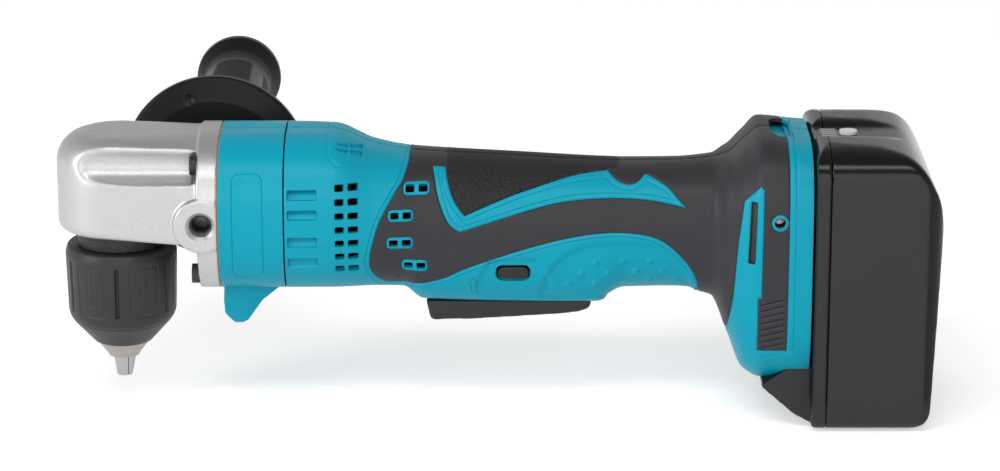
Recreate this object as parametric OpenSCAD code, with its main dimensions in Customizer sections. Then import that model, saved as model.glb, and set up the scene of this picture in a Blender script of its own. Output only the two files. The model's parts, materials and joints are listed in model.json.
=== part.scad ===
// Cordless right angle drill with a keyless chuck, a side handle and a slide-on battery.
// Solids are drawn about the motor axis, then lifted to put the jaws' tips at the origin.
// X runs from the head to the battery, Y to the side handle, Z up.

/* [Angle head] */
// Radius of the round nose about the spindle axis
nose_r = 23.6; // [23:0.2:26]
// Rounding between the nose and the top of the head
nose_round = 15; // [10:0.5:18]
// Rounding under the nose
nose_under_round = 3; // [2:0.5:5]
// Depth of the head below the motor axis
head_bottom = 8; // [7.5:0.1:9]
// Length from the spindle axis to the back of the head
head_len = 38; // [37:0.5:42]
// Thickness of the flange that is screwed to the gear case
flange_t = 7.4; // [6:0.2:8.5]
// Radius of the bosses for the side handle
boss_r = 10; // [9:0.5:12]
// Distance of the side handle axis in front of the back of the head
boss_back = 6; // [5.8:0.2:8]
// Radius of the side handle's thread
handle_thread_r = 4; // [3:0.5:5]
// Depth of the side handle's threaded hole
handle_thread_len = 14; // [10:0.5:15]
// Radius of the driver groove along each side of the head
groove_r = 6; // [4:0.5:7]
// Distance of the head screws from the motor axis, along Y and along Z
head_screw_off = 20.6; // [20:0.1:21]
// Radius of the head screws' shank
head_screw_r = 2; // [1.5:0.1:2.2]
// Radius of the head screws' heads
head_screw_head_r = 3.6; // [3:0.1:4]
// Height of the head screws' heads
head_screw_head_h = 2.6; // [2:0.1:4]
// Length of the head screws' shank
head_screw_len = 20; // [14:0.5:24]
// Thickness of the gasket behind the head
gasket_t = 0.6; // [0.4:0.1:1]

/* [Spindle and bearings] */
// Radius of the spindle
spindle_r = 6; // [5.5:0.1:6.2]
// Radius of the spindle's upper journal
journal_r = 5; // [4.5:0.1:5.2]
// Outer radius of the lower spindle bearing
lower_bearing_r = 12; // [11.5:0.1:13]
// Outer radius of the upper spindle bearing
upper_bearing_r = 11; // [10:0.1:12]
// Width of the spindle and pinion bearings
bearing_w = 6; // [5:0.5:6.5]
// Height of the ring that holds the lower bearing under the head
neck_h = 6.2; // [6.2:0.1:7]
// Outer radius of that ring
neck_r = 16; // [15:0.2:17.5]
// Radius of the bevel gear's chamber
chamber_r = 18.5; // [18:0.1:19]
// Height of the chamber's roof above the motor axis
chamber_top = 12; // [11.8:0.1:13]

/* [Bevel gears] */
// Module of the bevel teeth at their outer end
bevel_module = 1; // [0.9:0.02:1.05]
// Length of the bevel teeth along the cone
bevel_face = 5; // [4:0.2:5.5]
// Height of the bevel gear's blank above its pitch circle
bevel_back = 5.4; // [4.5:0.1:5.6]
// Radius of the pinion's shaft
pinion_shaft_r = 6; // [4.5:0.1:6.2]
// Play between the flanks of the bevel teeth
bevel_play = 0.3; // [0.2:0.02:0.4]

/* [Planetary gears] */
// Module of the planetary teeth
planet_module = 1.2; // [1.1:0.02:1.24]
// Width of the planet gears
planet_w = 9; // [8:0.2:9.5]
// Outer radius of the ring gear
ring_r = 26; // [25:0.1:26.4]
// Radius of the planet pins
planet_pin_r = 2.5; // [2:0.1:3]
// Thickness of the planet carrier
carrier_t = 3; // [2.5:0.1:3.2]
// Play between the flanks of the planetary teeth
planet_play = 0.3; // [0.2:0.02:0.4]

/* [Gear case and lamp] */
// Half height of the gear case and of the motor end of the housing
motor_r = 29.6; // [29.4:0.1:31]
// Half width of the gear case and of the motor end of the housing
motor_half_w = 30.6; // [30.2:0.1:32]
// Length of the gear case
case_len = 23.4; // [23:0.2:26]
// Depth of the lamp foot below the motor axis
lamp_drop = 43.6; // [42:0.2:48]
// Half width of the lamp foot
lamp_half_w = 9; // [8:0.5:12]
// Height of the lamp lens
lens_h = 7; // [5:0.5:8]
// Half width of the lamp lens
lens_half_w = 6; // [4:0.5:7]
// Thickness of the lamp lens
lens_t = 3; // [2:0.2:4]

/* [Motor] */
// Radius of the armature shaft between its bearings
shaft_r = 4; // [3.8:0.1:4.2]
// Radius of the armature shaft at the motor pinion and the rear bearing
shaft_end_r = 2.5; // [2:0.1:2.8]
// Outer radius of the front motor bearing
front_bearing_r = 9.5; // [9:0.1:10.5]
// Outer radius of the rear motor bearing
rear_bearing_r = 8; // [7:0.1:8.4]
// Outer radius of the motor's mounting bracket
bracket_r = 24; // [22:0.2:25]
// Radius of the cooling fan
fan_r = 21; // [18:0.5:22]
// Width of the cooling fan
fan_w = 9.5; // [8:0.5:10]
// Number of fan blades
fan_blades = 13; // [9:1:17]
// Radius of the armature core
core_r = 11.9; // [11:0.1:12.2]
// Length of the armature core
core_len = 16; // [14:0.5:16.5]
// Radius of the commutator
commutator_r = 8; // [7:0.1:8.5]
// Outer radius of the motor yoke
yoke_r = 18.2; // [17.6:0.1:18.2]
// Wall of the motor yoke
yoke_wall = 2; // [1.5:0.1:2.5]
// Length of the motor yoke
yoke_len = 23; // [22:0.5:23]

/* [Housing] */
// Gap between the gear case and the housing
seam_gap = 0.6; // [0.3:0.1:1]
// Length of the housing from the seam to the battery face
body_len = 191.9; // [188:0.5:200]
// Wall of the housing
wall = 2.4; // [2:0.1:2.5]
// Thickness of the rubber grip
rubber_t = 1.2; // [0.8:0.1:1.4]
// Height of the grip above the motor axis
grip_top = 18.7; // [18.2:0.1:21]
// Depth of the grip's lower lip below the motor axis
grip_bottom = 34.7; // [34.2:0.1:37]
// Half width of the grip
grip_half_w = 24; // [23.5:0.1:26]
// Depth of the grip's widest line below the motor axis
grip_mid = 8; // [6:0.2:10]
// Height of the foot above the motor axis
foot_top = 30; // [29:0.2:33]
// Depth of the foot below the motor axis
foot_bottom = 62; // [60:0.5:64]
// Half width of the foot
foot_half_w = 35.6; // [35:0.1:37]
// Radius of the housing screws
housing_screw_r = 1.75; // [1.5:0.05:2]
// Radius of the housing screws' heads
housing_screw_head_r = 3.5; // [3:0.1:3.6]
// Height of a motor vent
vent_h = 2.6; // [2:0.1:3]
// Radius of the hook screw's thread
hook_thread_r = 2; // [1.5:0.1:2.5]
// Depth of the hook screw's thread
hook_thread_len = 8; // [6:0.5:10]

/* [Trigger and switch] */
// Length of the trigger lever
trigger_len = 61.6; // [60:0.2:62]
// Half width of the trigger lever
trigger_half_w = 10.2; // [9:0.1:10.4]
// Depth of the trigger's front end below the housing's lip
trigger_drop = 8; // [6:0.2:9]
// Radius of the trigger's pivot pin
trigger_pin_r = 2; // [1.5:0.1:2.2]
// Travel of the switch plunger
plunger_travel = 3.3; // [2.5:0.1:3.4]
// Radius of the switch plunger
plunger_r = 2; // [1.5:0.1:2.2]
// Length of the direction lever's button along the body
direction_w = 11.6; // [9:0.1:12]
// Height of the direction lever's button
direction_h = 4.6; // [3.5:0.1:5]

/* [Chuck] */
// Length of the chuck's sleeve
sleeve_len = 37.7; // [36:0.1:40]
// Radius of the sleeve at its rim
sleeve_r = 20.7; // [20.4:0.1:22]
// Radius of the sleeve's lower end
sleeve_tip_r = 10.9; // [10.6:0.1:12]
// Length of the bare nose below the sleeve
nose_len = 6.2; // [5.5:0.1:7]
// Radius of the nose's lower end
nose_tip_r = 5.8; // [5.7:0.1:6.5]
// Length of the jaws below the nose, with the chuck closed
jaw_out = 8; // [6:0.1:9]
// Radius of a jaw
jaw_r = 3.1; // [2.8:0.05:3.2]
// Slope of the jaws against the spindle axis, in degrees
jaw_slope = 12; // [11:0.5:13]
// Smallest shank that the chuck holds, as a radius
bit_min_r = 0.75; // [0.5:0.05:1]
// Largest shank that the chuck holds, as a radius
bit_max_r = 5; // [4.5:0.1:5.1]
// Radius of the chuck's body inside the sleeve
chuck_body_r = 15; // [14.6:0.1:15.4]

/* [Side handle] */
// Length of the handle from the head to its end
handle_len = 158; // [140:1:170]
// Radius of the hand guard
guard_r = 35.5; // [30:0.5:40]
// Distance of the hand guard from the head
guard_off = 18; // [14:0.5:24]
// Radius of the grip at its swell
handle_grip_r = 15.4; // [13:0.2:17]
// Radius of the flange at the handle's end
handle_end_r = 17.4; // [15:0.2:20]

/* [Battery] */
// Height of the battery above the motor axis
battery_top = 30; // [29:0.2:33]
// Depth of the battery below the motor axis
battery_bottom = 77; // [76:0.2:82]
// Depth of the battery along the body
battery_len = 47; // [46:0.2:50]
// Half width of the battery
battery_half_w = 37.3; // [37:0.1:39]
// Wall of the battery case
battery_wall = 2.2; // [1.8:0.1:2.4]
// Radius of a battery cell
cell_r = 9.1; // [8.8:0.05:9.1]
// Half width of the slide rails
rail_half_w = 28.7; // [27:0.1:30]
// Half width of the neck that carries the rails
rail_neck_half_w = 24.7; // [23:0.1:25.5]
// Travel of the release button
release_travel = 4.5; // [3:0.1:5]
// Travel of the gauge button
gauge_travel = 0.8; // [0.5:0.1:1]

/* [Fits] */
// Play around a part that turns or slides in another
run_gap = 0.05; // [0.03:0.01:0.1]
// Play around a part that is pressed or screwed in place
seat_gap = 0.03; // [0.02:0.01:0.05]
// Gap between moulded parts that move past each other
part_gap = 0.35; // [0.3:0.05:0.4]

/* [Hidden] */
$fn = 48;
// How far a cut runs past the surface that it opens
overrun = 1;

// Heights in the chuck, counted down from the motor axis
z_neck = -head_bottom - neck_h;
rim_gap = 0.4;
z_rim = z_neck - rim_gap;
z_sleeve = z_rim - sleeve_len;
z_nose = z_sleeve - nose_len;
z_tip = z_nose - jaw_out;
axis_height = -z_tip;
nut_h = 6;
z_nut = z_rim - 0.62 * sleeve_len;

// The spindle ends above the jaws' path, on a web of the chuck's body that a screw goes through
chuck_web_t = 2;
jaw_cross_rise = 1.5;
z_jaw_cross = z_tip + jaw_cross_rise;
z_spindle_end = z_jaw_cross + (spindle_r + part_gap + jaw_r / cos(jaw_slope)) / tan(jaw_slope);
chuck_screw_r = 2;
chuck_screw_len = 12;
chuck_screw_head_r = 3.6;
chuck_screw_head_h = 3;

// Places along the body, counted from the spindle axis
x_flange = head_len - flange_t;
x_boss = head_len - boss_back;
x_case = head_len + gasket_t;
x_case_back = x_case + case_len;
x_housing = x_case_back + seam_gap;
x_foot = x_housing + body_len;
x_trigger = x_housing + 0.265 * body_len;

// Bevel pair: the teeth's cones meet where the spindle and motor axes cross
bevel_teeth = 30;
pinion_teeth = 10;
bevel_pitch_r = bevel_module * bevel_teeth / 2;
pinion_pitch_r = bevel_module * pinion_teeth / 2;
cone_len = norm([bevel_pitch_r, pinion_pitch_r]);
bevel_addendum_share = 0.8;
bevel_dedendum_share = 1.15;
pressure_angle = 20;
x_pinion_bearing = chamber_r + 1.5 * gasket_t;
z_gear_top = pinion_pitch_r + bevel_back;

// Planetary stage
sun_teeth = 12;
ring_teeth = 36;
planets = 3;
planet_pitch_r = planet_module * sun_teeth / 2;
planet_orbit_r = 2 * planet_pitch_r;
ring_pitch_r = planet_module * ring_teeth / 2;
planet_addendum_share = 0.9;
planet_dedendum_share = 1.2;
carrier_gap = 1.2;
x_carrier = x_case + carrier_gap;
x_planet = x_carrier + carrier_t + part_gap;
x_planet_back = x_planet + planet_w;
carrier_r = planet_orbit_r + 2 * planet_pin_r;

// Motor places
case_web = 2;
x_bracket = x_planet_back + 4 * part_gap + case_web;
bracket_lip = 1;
bracket_t = bearing_w + 2 * bracket_lip;
x_front_bearing = x_bracket + bracket_lip;
journal_step = 1;
front_journal_r = shaft_end_r + journal_step;
fan_lead = 35.9;
x_fan = x_trigger - fan_lead;
winding_len = 3.4;
winding_gap = 0.6;
x_core = x_fan + fan_w + winding_gap + winding_len;
yoke_lead = 2;
x_yoke = x_core - yoke_lead;
x_yoke_back = x_yoke + yoke_len;
x_commutator = x_core + core_len + winding_len + part_gap;
commutator_len = 8.4;
rear_gap = 1;
x_rear_bearing = x_commutator + commutator_len + rear_gap;
rear_bearing_w = 5;
brush_plate_t = 1.5;
brush_w = 5;
brush_h = 4;
brush_box_wall = 1;
brush_box_len = 9;

// Sections of the housing: place along the body, top, bottom, widest line, half width and
// the roundness exponents of the upper and lower half
body_x_shares = [
    0, 0.09, 0.165, 0.222, 0.262, 0.455, 0.594, 0.648, 0.742, 0.815, 0.846, 0.877, 0.909, 1
];
n_motor = 2.6;
n_grip = 2.4;
n_lip = 3.4;
n_foot = 4;
sections = [
    [0, motor_r, -motor_r, 0, motor_half_w, n_motor, n_motor],
    [0, 0.985 * motor_r, -motor_r, 0, 0.985 * motor_half_w, n_motor, n_motor],
    [0, 1.27 * grip_top, -motor_r, -0.25 * grip_mid, 1.15 * grip_half_w, n_grip, n_grip],
    [0, 1.145 * grip_top, -0.86 * grip_bottom, -0.4 * grip_mid, 1.085 * grip_half_w, n_grip, n_grip],
    [0, 1.11 * grip_top, -0.965 * grip_bottom, -0.65 * grip_mid, 1.05 * grip_half_w, n_grip, n_lip],
    [0, grip_top, -grip_bottom, -grip_mid, grip_half_w, n_grip, n_lip],
    [0, 0.92 * grip_top, -1.01 * grip_bottom, -grip_mid, 0.95 * grip_half_w, n_grip, n_lip],
    [0, 0.905 * grip_top, -0.91 * grip_bottom, -grip_mid, 0.917 * grip_half_w, n_grip, n_grip],
    [0, 0.915 * grip_top, -0.9 * grip_bottom, -grip_mid, 0.9 * grip_half_w, n_grip, n_grip],
    [0, 0.61 * foot_top, -0.54 * foot_bottom, -grip_mid, 0.66 * foot_half_w, n_grip, n_grip],
    [0, 0.67 * foot_top, -0.74 * foot_bottom, -1.5 * grip_mid, 0.79 * foot_half_w, n_lip, n_lip],
    [0, 0.85 * foot_top, -0.965 * foot_bottom, -1.9 * grip_mid, 0.93 * foot_half_w, n_lip, n_lip],
    [0, foot_top, -foot_bottom, -1.9 * grip_mid, foot_half_w, n_foot, n_foot],
    [0, 0.95 * foot_top, -foot_bottom, -1.9 * grip_mid, foot_half_w, n_foot, n_foot]
];
section_x = [for (s = body_x_shares) x_housing + s * body_len];
section_steps = [1, 2, 2, 1, 2, 2, 2, 1, 2, 2, 2, 2, 1];
ring_steps = 10;
cavity_steps = 6;

// Outlines seen from the side, as shares of the housing's length and the motor end's half height
rubber_front_shares = [
    [0.24, 1.6], [0.233, 0.66], [0.209, 0.38], [0.185, 0.106], [0.16, -0.45], [0.168, -0.7], [0.2, -0.83]
];
rubber_under_shares = [
    [0.25, -0.82], [0.315, -0.7], [0.393, -0.486], [0.523, -0.25], [0.61, -0.165], [0.681, -0.19],
    [0.737, -0.36], [0.78, -0.726], [0.79, -1.1]
];
foot_inlay_shares = [[0.843, -1.39], [0.852, -0.9], [0.861, -0.136], [0.87, 0.32], [0.9, 0.537]];
rubber_heel_shares = [0.79, 0.837];
foot_crease_share = 0.907;
foot_crease_top_share = 0.5;
foot_strip_top_share = 1.6;
foot_strip_end_share = 0.956;
pad_top_share = -0.87;
pad_bottom_share = -1.57;
pad_front_share = 0.899;
tick_left_shares = [[0.281, 0.62], [0.293, 0.26], [0.313, -0.03], [0.331, -0.128]];
tick_right_shares = [[0.34, 0.072], [0.313, 0.4], [0.305, 0.608]];
tick_low_shares = [
    [0.353, -0.085], [0.448, 0.105], [0.527, 0.225], [0.61, 0.26], [0.694, 0.232], [0.763, 0.142]
];
tick_high_shares = [
    [0.731, 0.362], [0.686, 0.505], [0.672, 0.431], [0.656, 0.403], [0.636, 0.433], [0.614, 0.536],
    [0.54, 0.49], [0.449, 0.342], [0.393, 0.214]
];
curve_steps = 2;

// Vents and recesses on the sides of the motor end, in the same shares
vent_column_shares = [[0.095, 0.113], [0.12, 0.14]];
vent_rows = 7;
vent_top_share = 0.475;
vent_bottom_share = -0.572;
recess_share = [0.005, 0.06];
recess_row_shares = [0.393, 0.144, -0.203, -0.478];
recess_depth = 0.9;
grip_vent_shares = [[0.229, 0.41], [0.2, 0.095], [0.197, -0.255], [0.225, -0.558]];
grip_vent_len_share = 0.04;
grip_vent_split_share = 0.42;

// Housing screws, seen from the side
screw_shares = [[0.155, -0.8], [0.487, 0.2], [0.747, -0.48], [0.878, 0.62], [0.888, -1.7]];
screw_boss_r = 2.1 * housing_screw_r;
screw_head_h = 2.4;
screw_seat_depth = 1.4;
screw_left_share = 0.5;

// Hook nuts
hook_share = [0.9375, 0.093];
hook_nut_r = 2 * hook_thread_r;

// Trigger, switch and direction lever places
x_trigger_back = x_trigger + trigger_len;
trigger_top = grip_bottom - part_gap;
x_pivot = x_trigger_back - 2.5 * trigger_pin_r;
z_pivot = -grip_bottom + 2.35 * trigger_pin_r;
pivot_ear_r = 2 * trigger_pin_r;
trigger_ear_half_w = 0.55 * trigger_half_w;
plunger_back = 13.5;
x_plunger = x_trigger + plunger_back;
plunger_head_r = 1.75 * plunger_r;
plunger_head_h = 1;
z_plunger = -trigger_top + part_gap;
switch_len = 21;
switch_half_w = 10;
switch_h = 15.6;
spring_room = 1.4;
z_switch = z_plunger + plunger_head_h + plunger_travel + spring_room;
x_switch = x_plunger - 0.47 * switch_len;
plunger_len = 15.5;
direction_gap = 1.9;
x_direction = x_switch + switch_len + direction_gap;
z_direction = -0.675 * motor_r;
direction_round_share = 0.45;
spring_turns = 3;
spring_wire_r = 0.3;
spring_sides = 6;
spring_rings = 8;

// Terminal block in the foot and the battery's slide channel
rail_t = 2.9;
rail_neck_t = 3.3;
x_channel = x_foot - rail_t - rail_neck_t;
channel_wall = 2;
channel_top_share = 0.8;
channel_bottom_share = 0.95;
block_half_w = 14;
block_top_share = 0.3;
block_bottom_share = -0.8;
block_len = 11;
blade_t = 0.8;
blade_off = 9;
blade_len = 5;
wire_r = 1.1;
wire_off = 5;

// Battery places
battery_gap = 0.8;
x_battery = x_foot + battery_gap;
x_battery_back = x_battery + battery_len;
cover_len = 5.4;
x_battery_seam = x_battery + cover_len;
battery_low_round = 9;
battery_high_round = 20;
battery_lip_round = 5;
battery_toe_round = 3;
battery_side_low_round = 7;
battery_side_high_round = 8;
hump_tip = 18;
hump_half_w = 30;
hump_top_share = 0.76;
release_half_w = 11;
release_len = 9;
release_h = 7.5;
latch_half_w = 5;
latch_h = 3;
latch_t = 3;
gauge_len = 6.6;
gauge_half_w = 3;
gauge_skirt = 1.2;
gauge_channel_depth = 2.6;
gauge_channel_half_w = 8;
cell_gap = 0.6;
cell_end_gap = 2.6;
cell_len = 2 * (battery_half_w - battery_wall - cell_end_gap);
board_t = 1.6;

// Helpers

// Lifts a solid from the motor axis to its place
module at_axis() {
    translate([0, 0, axis_height]) children();
}

// Round bar along X
module rod_x(x0, x1, r) {
    translate([x0, 0, 0]) rotate([0, 90, 0]) cylinder(h = x1 - x0, r = r);
}

// Round bar along Y
module rod_y(y0, y1, r, sides = $fn) {
    translate([0, y0, 0]) rotate([-90, 0, 0]) cylinder(h = y1 - y0, r = r, $fn = sides);
}

// Round bar along Z
module rod_z(z0, z1, r) {
    translate([0, 0, z0]) cylinder(h = z1 - z0, r = r);
}

// Tube along X
module tube_x(x0, x1, r_in, r_out) {
    difference() {
        rod_x(x0, x1, r_out);
        rod_x(x0 - overrun, x1 + overrun, r_in);
    }
}

// Tube along Z
module tube_z(z0, z1, r_in, r_out) {
    difference() {
        rod_z(z0, z1, r_out);
        rod_z(z0 - overrun, z1 + overrun, r_in);
    }
}

// Block given by two opposite corners
module block(low, high) {
    translate(low) cube(high - low);
}

// Outline seen from the side, given in X and Z, drawn out along Y
module side_prism(outline, y0, y1) {
    translate([0, y1, 0]) rotate([90, 0, 0]) linear_extrude(y1 - y0) polygon(outline);
}

// Outline seen along the body, given in Y and Z, drawn out along X
module front_prism(outline, x0, x1) {
    translate([x0, 0, 0]) rotate([90, 0, 90]) linear_extrude(x1 - x0) polygon(outline);
}

function unit(v) = v / norm(v);

// Polygon with rounded corners from points [x, y, corner radius]
corner_steps = 5;
function corner(a, b, c) = let (
    p = [b[0], b[1]],
    u = unit([a[0], a[1]] - p),
    v = unit([c[0], c[1]] - p),
    half = acos(u * v) / 2,
    centre = p + unit(u + v) * b[2] / sin(half),
    s = p + u * b[2] / tan(half) - centre,
    e = p + v * b[2] / tan(half) - centre,
    turn = atan2(s[0] * e[1] - s[1] * e[0], s * e)
) [for (k = [0 : corner_steps]) let (t = turn * k / corner_steps)
    centre + [s[0] * cos(t) - s[1] * sin(t), s[0] * sin(t) + s[1] * cos(t)]];
function rounded(pts) = let (n = len(pts)) [
    for (i = [0 : n - 1])
        each pts[i][2] > 0 ? corner(pts[(i + n - 1) % n], pts[i], pts[(i + 1) % n]) : [[pts[i][0], pts[i][1]]]
];

function rounded_box(x0, y0, x1, y1, r) = rounded([[x0, y0, r], [x1, y0, r], [x1, y1, r], [x0, y1, r]]);

// Smooth curve through points
function curve_point(p, q, r, s, t) = 0.5 * (2 * q + (r - p) * t + (2 * p - 5 * q + 4 * r - s) * t * t
    + (3 * q - p - 3 * r + s) * t * t * t);
function curve(pts) = let (n = len(pts)) [
    for (i = [0 : n - 2], k = [0 : curve_steps - 1])
        curve_point(pts[max(i - 1, 0)], pts[i], pts[i + 1], pts[min(i + 2, n - 1)], k / curve_steps),
    pts[n - 1]
];

// Place on the side of the housing from shares
function side_x(share) = x_housing + share * body_len;
function side_z(share) = share * motor_r;
function side_points(shares) = [for (s = shares) [side_x(s[0]), side_z(s[1])]];
module at_side(share) {
    translate([side_x(share[0]), 0, side_z(share[1])]) children();
}

// Solid skin over rings of points, with the end rings closed by the given faces
module skin(rings, cap) {
    n = len(rings[0]);
    m = len(rings);
    points = [for (ring = rings) each ring];
    sides = [for (i = [0 : m - 2], j = [0 : n - 1]) each [
        [i * n + j, (i + 1) * n + j, (i + 1) * n + (j + 1) % n],
        [i * n + j, (i + 1) * n + (j + 1) % n, i * n + (j + 1) % n]
    ]];
    finish = [for (f = cap) [for (k = [len(f) - 1 : -1 : 0]) (m - 1) * n + f[k]]];
    polyhedron(points, concat(sides, cap, finish));
}

// Housing sections, blended along the body without overshoot
function segment(x, i = 0) = i >= len(section_x) - 2 || x < section_x[i + 1] ? i : segment(x, i + 1);
function rise(i, c) = (sections[i + 1][c] - sections[i][c]) / (section_x[i + 1] - section_x[i]);
function slope(i, c) = i == 0 || i == len(section_x) - 1 ? 0
    : rise(i - 1, c) * rise(i, c) <= 0 ? 0
    : 2 * rise(i - 1, c) * rise(i, c) / (rise(i - 1, c) + rise(i, c));
function blend(i, c, t, w) = sections[i][c] * (1 + 2 * t) * pow(1 - t, 2)
    + slope(i, c) * w * t * pow(1 - t, 2)
    + sections[i + 1][c] * t * t * (3 - 2 * t)
    + slope(i + 1, c) * w * t * t * (t - 1);
function section(x) = let (
    i = segment(x),
    w = section_x[i + 1] - section_x[i],
    t = (x - section_x[i]) / w
) [x, for (c = [1 : 6]) blend(i, c, t, w)];
function signed_power(v, e) = sign(v) * pow(abs(v), e);
function section_point(s, a, inset) = let (
    upper = sin(a) >= 0,
    n = upper ? s[5] : s[6],
    h = upper ? s[1] - s[3] - inset : s[3] - s[2] - inset
) [s[0], (s[4] - inset) * signed_power(cos(a), 2 / n), s[3] + h * signed_power(sin(a), 2 / n)];

// Half width of the housing at a point seen from the side
function skin_y(x, z) = let (
    s = section(x),
    h = z >= s[3] ? s[1] - s[3] : s[3] - s[2],
    n = z >= s[3] ? s[5] : s[6]
) s[4] * pow(max(0, 1 - pow(abs(z - s[3]) / h, n)), 1 / n);

stations = [
    for (i = [0 : len(section_x) - 2], k = [0 : section_steps[i] - 1])
        section_x[i] + (section_x[i + 1] - section_x[i]) * k / section_steps[i],
    section_x[len(section_x) - 1]
];

// Near half of the housing's form, set in by a depth
module half_form(inset, places = stations, steps = ring_steps) {
    rings = [for (x = places) let (s = section(x)) [
        for (k = [0 : steps]) section_point(s, 90 + 180 * k / steps, inset)
    ]];
    skin(rings, [[for (k = [0 : steps]) k]]);
}

// Near half of a shell between two depths under the housing's surface
module half_shell(outer, inner) {
    n = ring_steps + 1;
    rings = [for (x = stations) let (s = section(x)) concat(
        [for (k = [0 : ring_steps]) section_point(s, 90 + 180 * k / ring_steps, outer)],
        [for (k = [0 : ring_steps]) section_point(s, 270 - 180 * k / ring_steps, inner)]
    )];
    skin(rings, [for (k = [0 : ring_steps - 1]) [k, k + 1, 2 * n - 2 - k, 2 * n - 1 - k]]);
}

// Level slot through one side wall, drawn from one end to the other
module side_slot(x0, x1, z, h, y0, y1) {
    end = (x1 - x0) / 4;
    hull() for (x = [x0, x1 - end]) block([x, y0, z - h / 2], [x + end, y1, z + h / 2]);
}

// Outline of the gear case and the flange, in Y and Z
case_steps = 48;
function case_outline(inset) = [for (k = [0 : case_steps - 1]) let (a = 360 * k / case_steps) [
    (motor_half_w - inset) * signed_power(cos(a), 2 / n_motor),
    (motor_r - inset) * signed_power(sin(a), 2 / n_motor)
]];

// Gear teeth

// Angle that a tooth's flank has turned at a radius, past the base circle
function involute(r, base) = r <= base ? 0 : sqrt(pow(r / base, 2) - 1) * 180 / PI - acos(base / r);

// Half angle of a tooth at a radius
function tooth_half(r, pitch_r, teeth, play) = let (base = pitch_r * cos(pressure_angle))
    90 / teeth - play / pitch_r * 45 / PI + involute(pitch_r, base) - involute(r, base);

// Points round a toothed wheel through the given radii, one tooth centred on angle 0
function wheel(pitch_r, teeth, radii, play) = [for (i = [0 : teeth - 1]) each concat(
    [for (r = radii) let (a = 360 * i / teeth - tooth_half(r, pitch_r, teeth, play)) r * [cos(a), sin(a)]],
    [for (k = [len(radii) - 1 : -1 : 0]) let (
        r = radii[k],
        a = 360 * i / teeth + tooth_half(r, pitch_r, teeth, play)
    ) r * [cos(a), sin(a)]]
)];
function planet_wheel(teeth) = let (r = planet_module * teeth / 2) wheel(r, teeth,
    [r - planet_module * planet_dedendum_share, r, r + planet_module * planet_addendum_share], planet_play);
// The ring gear's gaps are teeth made wider by the play
ring_wheel = wheel(ring_pitch_r, ring_teeth, [
    ring_pitch_r - planet_module * planet_addendum_share, ring_pitch_r,
    ring_pitch_r + planet_module * planet_dedendum_share
], -planet_play);

module spur(outline, x0, x1, bore) {
    difference() {
        translate([x0, 0, 0]) rotate([90, 0, 90]) linear_extrude(x1 - x0) polygon(outline);
        rod_x(x0 - overrun, x1 + overrun, bore);
    }
}

// Points round a bevel wheel on its back cone, about +Z with its apex at the origin
function bevel_ring(pitch_r, teeth, rise_r, size) = let (
    tilt = atan2(pitch_r, rise_r),
    back_r = pitch_r / cos(tilt),
    top = cone_len / cos(tilt),
    radii = [back_r - bevel_module * bevel_dedendum_share, back_r + bevel_module * bevel_addendum_share],
    flat = wheel(back_r, teeth / cos(tilt), radii, bevel_play)
) [for (i = [0 : teeth - 1], k = [0 : 3]) let (
    p = flat[k],
    a = 360 * i / teeth + atan2(p[1], p[0]) / cos(tilt),
    q = norm(p)
) size * [q * cos(tilt) * cos(a), q * cos(tilt) * sin(a), top - q * sin(tilt)]];

// Toothed crown of a bevel wheel between a bore and its back face
module bevel_crown(pitch_r, teeth, rise_r, bore, z_front, z_back, back_r) {
    far_end = bevel_ring(pitch_r, teeth, rise_r, 1);
    near_end = bevel_ring(pitch_r, teeth, rise_r, 1 - bevel_face / cone_len);
    n = len(far_end);
    function ring_at(r, z) = [for (p = far_end) let (d = norm([p[0], p[1]])) [p[0] * r / d, p[1] * r / d, z]];
    rings = [ring_at(bore, z_front), near_end, far_end, ring_at(back_r, z_back), ring_at(bore, z_back)];
    points = [for (ring = rings) each ring];
    faces = [for (i = [0 : 4], j = [0 : n - 1]) let (i2 = (i + 1) % 5, j2 = (j + 1) % n) each [
        [i * n + j, i2 * n + j2, i2 * n + j],
        [i * n + j, i * n + j2, i2 * n + j2]
    ]];
    polyhedron(points, [for (f = faces) [f[0], f[2], f[1]]]);
}

// Coil spring about Z, its wire's centre line between two heights
module coil(r, z0, z1) {
    steps = spring_turns * spring_rings;
    rings = [for (k = [0 : steps]) let (a = 360 * k / spring_rings) [
        for (j = [0 : spring_sides - 1]) let (
            b = 360 * j / spring_sides,
            d = r + spring_wire_r * cos(b)
        ) [d * cos(a), d * sin(a), z0 + (z1 - z0) * k / steps + spring_wire_r * sin(b)]
    ]];
    mirror([0, 1, 0]) skin(rings, [[for (j = [0 : spring_sides - 1]) j]]);
}

// Ball bearing along X: two rings and a shield, as one solid
module bearing_x(x0, w, r_in, r_out) {
    groove = w / 8;
    difference() {
        tube_x(x0, x0 + w, r_in, r_out);
        for (x = [x0 - groove, x0 + w - groove])
            tube_x(x, x + 2 * groove, r_in + (r_out - r_in) / 4, r_out - (r_out - r_in) / 4);
    }
}

// Angle head

// Places of the four head screws
module at_head_screws() {
    for (y = [-head_screw_off, head_screw_off], z = [-head_screw_off, head_screw_off])
        translate([0, y, z]) children();
}

module nose_form() {
    rotate_extrude($fn = 40) polygon(concat([[0, -head_bottom]], [
        for (p = rounded([
            [0, -head_bottom, 0], [nose_r, -head_bottom, nose_under_round],
            [nose_r, motor_r, nose_round], [0, motor_r, 0]
        ])) if (p[0] > 0) p
    ], [[0, motor_r]]));
}

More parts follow.
